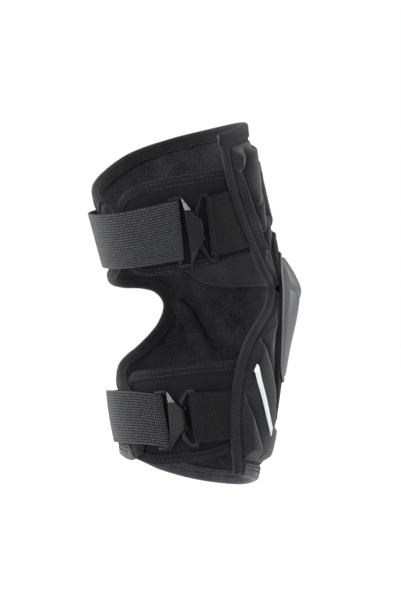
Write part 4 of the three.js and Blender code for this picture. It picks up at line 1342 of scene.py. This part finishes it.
def build_stage(settings):
    """Pale floor under a white room, a soft ceiling light, five softboxes, and the photograph's
    camera."""
    scene = bpy.context.scene
    yaw = math.radians(VIEW_YAW)
    right = Vector((math.cos(yaw), math.sin(yaw), 0))
    back = Vector((math.sin(yaw), -math.cos(yaw), 0))
    build_floor(settings)
    build_room(settings)
    ceiling = bpy.data.lights.new("white_ceiling", "SUN")
    ceiling.energy = settings.ceiling_light
    ceiling.angle = math.radians(CEILING_SPREAD)
    scene.collection.objects.link(bpy.data.objects.new("white_ceiling", ceiling))
    for name, (place, width, share) in SOFTBOXES.items():
        light = bpy.data.lights.new(name, "AREA")
        light.size = width
        light.energy = settings.lamp_power * share
        spot = right * place[0] + back * place[1] + Vector((0, 0, place[2]))
        aimed(name, light, spot, -spot)
    camera = bpy.data.cameras.new("photo_camera")
    camera.sensor_width = SENSOR
    camera.lens = SENSOR * VIEW_DISTANCE / VIEW_HEIGHT
    camera.clip_start, camera.clip_end = 0.01, 50
    spot = back * VIEW_DISTANCE + right * VIEW_SHIFT[0] + Vector((0, 0, VIEW_SHIFT[1]))
    scene.camera = aimed("photo_camera", camera, spot * MM, -back)
    scene.view_settings.view_transform = "Standard"


# Settings, operators and panel


def number_setting(name, description, default, unit="NONE"):
    """A number that the panel shows."""
    return bpy.props.FloatProperty(
        name=name, description=description, default=default, unit=unit
    )


def length_setting(name, description, default):
    """A length in metres that the panel shows."""
    return number_setting(name, description, default, "LENGTH")


def colour_setting(name, description, hex_colour):
    """A colour that the panel shows."""
    return bpy.props.FloatVectorProperty(
        name=name, description=description, default=linear(hex_colour)[:3], subtype="COLOR"
    )


class KneeGuardCloth(bpy.types.PropertyGroup):
    """Sizes of the sewn cloth and padding."""

    cloth_ripple: length_setting("Cloth ripple", "Height of the soft waves in the sleeve", 0.0005)
    rib_height: length_setting("Rib height", "How far the padding ribs stand up", 0.005)
    pad_pressure: number_setting("Pad pressure", "Pressure of the foam on its cover", 4.0)
    pad_swell: length_setting("Pad swell", "The most that a cover moves as it swells", 0.0016)
    stitch_spacing: length_setting("Stitch spacing", "From one stitch to the next", 0.0034)
    stitch_length: length_setting("Stitch length", "Thread that shows in one stitch", 0.0026)
    thread_size: length_setting("Thread size", "Thickness of the sewing thread", 0.0007)


class KneeGuardColours(bpy.types.PropertyGroup):
    """Colours that the finishes are shades of."""

    cloth: colour_setting("Cloth", "Neoprene, knit covers, tapes and thread", "#151518")
    elastic: colour_setting("Elastic", "Floats of the woven straps", "#3f4044")
    nylon: colour_setting("Nylon", "Rings, hook plates and flexible plate", "#0e0e10")
    cap: colour_setting("Cap", "Moulded knee cap", "#434448")
    reflective: colour_setting("Reflective", "Reflective stripe", "#b9bbbe")


class KneeGuardStage(bpy.types.PropertyGroup):
    """Light and floor of the studio."""

    room_light: number_setting("Room light", "Strength of the even light of the room", 0.16)
    ceiling_light: number_setting("Ceiling light", "Strength of the light from above", 3.6)
    lamp_power: number_setting("Lamp power", "Power of a softbox of share one", 9.0, "POWER")
    floor_drop: length_setting("Floor drop", "How far the floor lies under the guard", 0.25)
    floor_size: length_setting("Floor size", "Length of each side of the floor", 16.0)


class PieceOperator:
    """What the operators share."""

    bl_options = {"REGISTER", "UNDO"}


class KNEEGUARD_OT_sleeve(PieceOperator, bpy.types.Operator):
    """Build the neoprene sleeve with its slack fold"""

    bl_idname = "kneeguard.sleeve"
    bl_label = "Sleeve"

    def execute(self, context):
        build_sleeve(context.scene.kneeguard_cloth)
        return {"FINISHED"}


class KNEEGUARD_OT_tapes(PieceOperator, bpy.types.Operator):
    """Build the bindings and hems along the sleeve's four edges"""

    bl_idname = "kneeguard.tapes"
    bl_label = "Edge tapes"

    def execute(self, context):
        for name in TAPES:
            build_tape(name)
        return {"FINISHED"}


class KNEEGUARD_OT_pads(PieceOperator, bpy.types.Operator):
    """Build the ribbed thigh pad and shin pad"""

    bl_idname = "kneeguard.pads"
    bl_label = "Pads"

    def execute(self, context):
        for name in PADS:
            build_pad(name, context.scene.kneeguard_cloth)
        return {"FINISHED"}


class KNEEGUARD_OT_knee_cap(PieceOperator, bpy.types.Operator):
    """Build the flexible plate and the moulded cap on it"""

    bl_idname = "kneeguard.knee_cap"
    bl_label = "Knee cap"

    def execute(self, context):
        build_cap_base()
        build_knee_cap()
        return {"FINISHED"}


class KNEEGUARD_OT_trim(PieceOperator, bpy.types.Operator):
    """Build the reflective stripe and the pinked piece of lining"""

    bl_idname = "kneeguard.trim"
    bl_label = "Stripe and lining patch"

    def execute(self, context):
        build_stripe(context.scene.kneeguard_cloth.rib_height / MM)
        build_lining_patch()
        return {"FINISHED"}


class KNEEGUARD_OT_flaps(PieceOperator, bpy.types.Operator):
    """Build the stretch flaps behind the closures"""

    bl_idname = "kneeguard.flaps"
    bl_label = "Flaps"

    def execute(self, context):
        for name in FLAPS:
            build_flap(name)
        return {"FINISHED"}


class KNEEGUARD_OT_straps(PieceOperator, bpy.types.Operator):
    """Build the woven straps and the ribbed webbing"""

    bl_idname = "kneeguard.straps"
    bl_label = "Straps and webbing"

    def execute(self, context):
        for name in CLOSURES:
            build_strap(name)
            build_webbing(name)
        return {"FINISHED"}


class KNEEGUARD_OT_hardware(PieceOperator, bpy.types.Operator):
    """Finish the moulded rings and hook plates"""

    bl_idname = "kneeguard.hardware"
    bl_label = "Rings and hook plates"

    def execute(self, context):
        for name in CLOSURES:
            build_buckle(name)
            dress_ring(name)
        return {"FINISHED"}


class KNEEGUARD_OT_stitching(PieceOperator, bpy.types.Operator):
    """Sew the rows of stitches along tapes, lining patch, flaps and straps"""

    bl_idname = "kneeguard.stitching"
    bl_label = "Stitching"

    def execute(self, context):
        cloth = context.scene.kneeguard_cloth
        tape_stitches(cloth)
        patch_stitches(cloth)
        for name in FLAPS:
            flap_stitches(name, cloth)
            strap_stitches(name, cloth)
        return {"FINISHED"}


class KNEEGUARD_OT_stage(PieceOperator, bpy.types.Operator):
    """Set the floor, the lamps and the camera"""

    bl_idname = "kneeguard.stage"
    bl_label = "Stage"

    def execute(self, context):
        build_stage(context.scene.kneeguard_stage)
        return {"FINISHED"}


OPERATORS = (
    KNEEGUARD_OT_stage,
    KNEEGUARD_OT_sleeve,
    KNEEGUARD_OT_tapes,
    KNEEGUARD_OT_pads,
    KNEEGUARD_OT_knee_cap,
    KNEEGUARD_OT_trim,
    KNEEGUARD_OT_flaps,
    KNEEGUARD_OT_straps,
    KNEEGUARD_OT_hardware,
    KNEEGUARD_OT_stitching,
)


class KNEEGUARD_PT_panel(bpy.types.Panel):
    """Sizes, light and the pieces in the order they are built"""

    bl_idname = "KNEEGUARD_PT_panel"
    bl_label = "Knee guard"
    bl_space_type = "VIEW_3D"
    bl_region_type = "UI"
    bl_category = "Knee guard"

    def draw(self, context):
        scene = context.scene
        for group in (scene.kneeguard_cloth, scene.kneeguard_colours, scene.kneeguard_stage):
            for name in group.__annotations__:
                self.layout.prop(group, name)
        for operator in OPERATORS:
            self.layout.operator(operator.bl_idname)


CLASSES = (KneeGuardCloth, KneeGuardColours, KneeGuardStage, *OPERATORS, KNEEGUARD_PT_panel)


def register():
    for kind in CLASSES:
        bpy.utils.register_class(kind)
    bpy.types.Scene.kneeguard_cloth = bpy.props.PointerProperty(type=KneeGuardCloth)
    bpy.types.Scene.kneeguard_colours = bpy.props.PointerProperty(type=KneeGuardColours)
    bpy.types.Scene.kneeguard_stage = bpy.props.PointerProperty(type=KneeGuardStage)


def unregister():
    del bpy.types.Scene.kneeguard_stage
    del bpy.types.Scene.kneeguard_colours
    del bpy.types.Scene.kneeguard_cloth
    for kind in reversed(CLASSES):
        bpy.utils.unregister_class(kind)


def main():
    """Registers the classes and builds every piece in order."""
    register()
    for operator in OPERATORS:
        group, name = operator.bl_idname.split(".")
        getattr(getattr(bpy.ops, group), name)()
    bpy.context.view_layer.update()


if __name__ == "__main__":
    main()
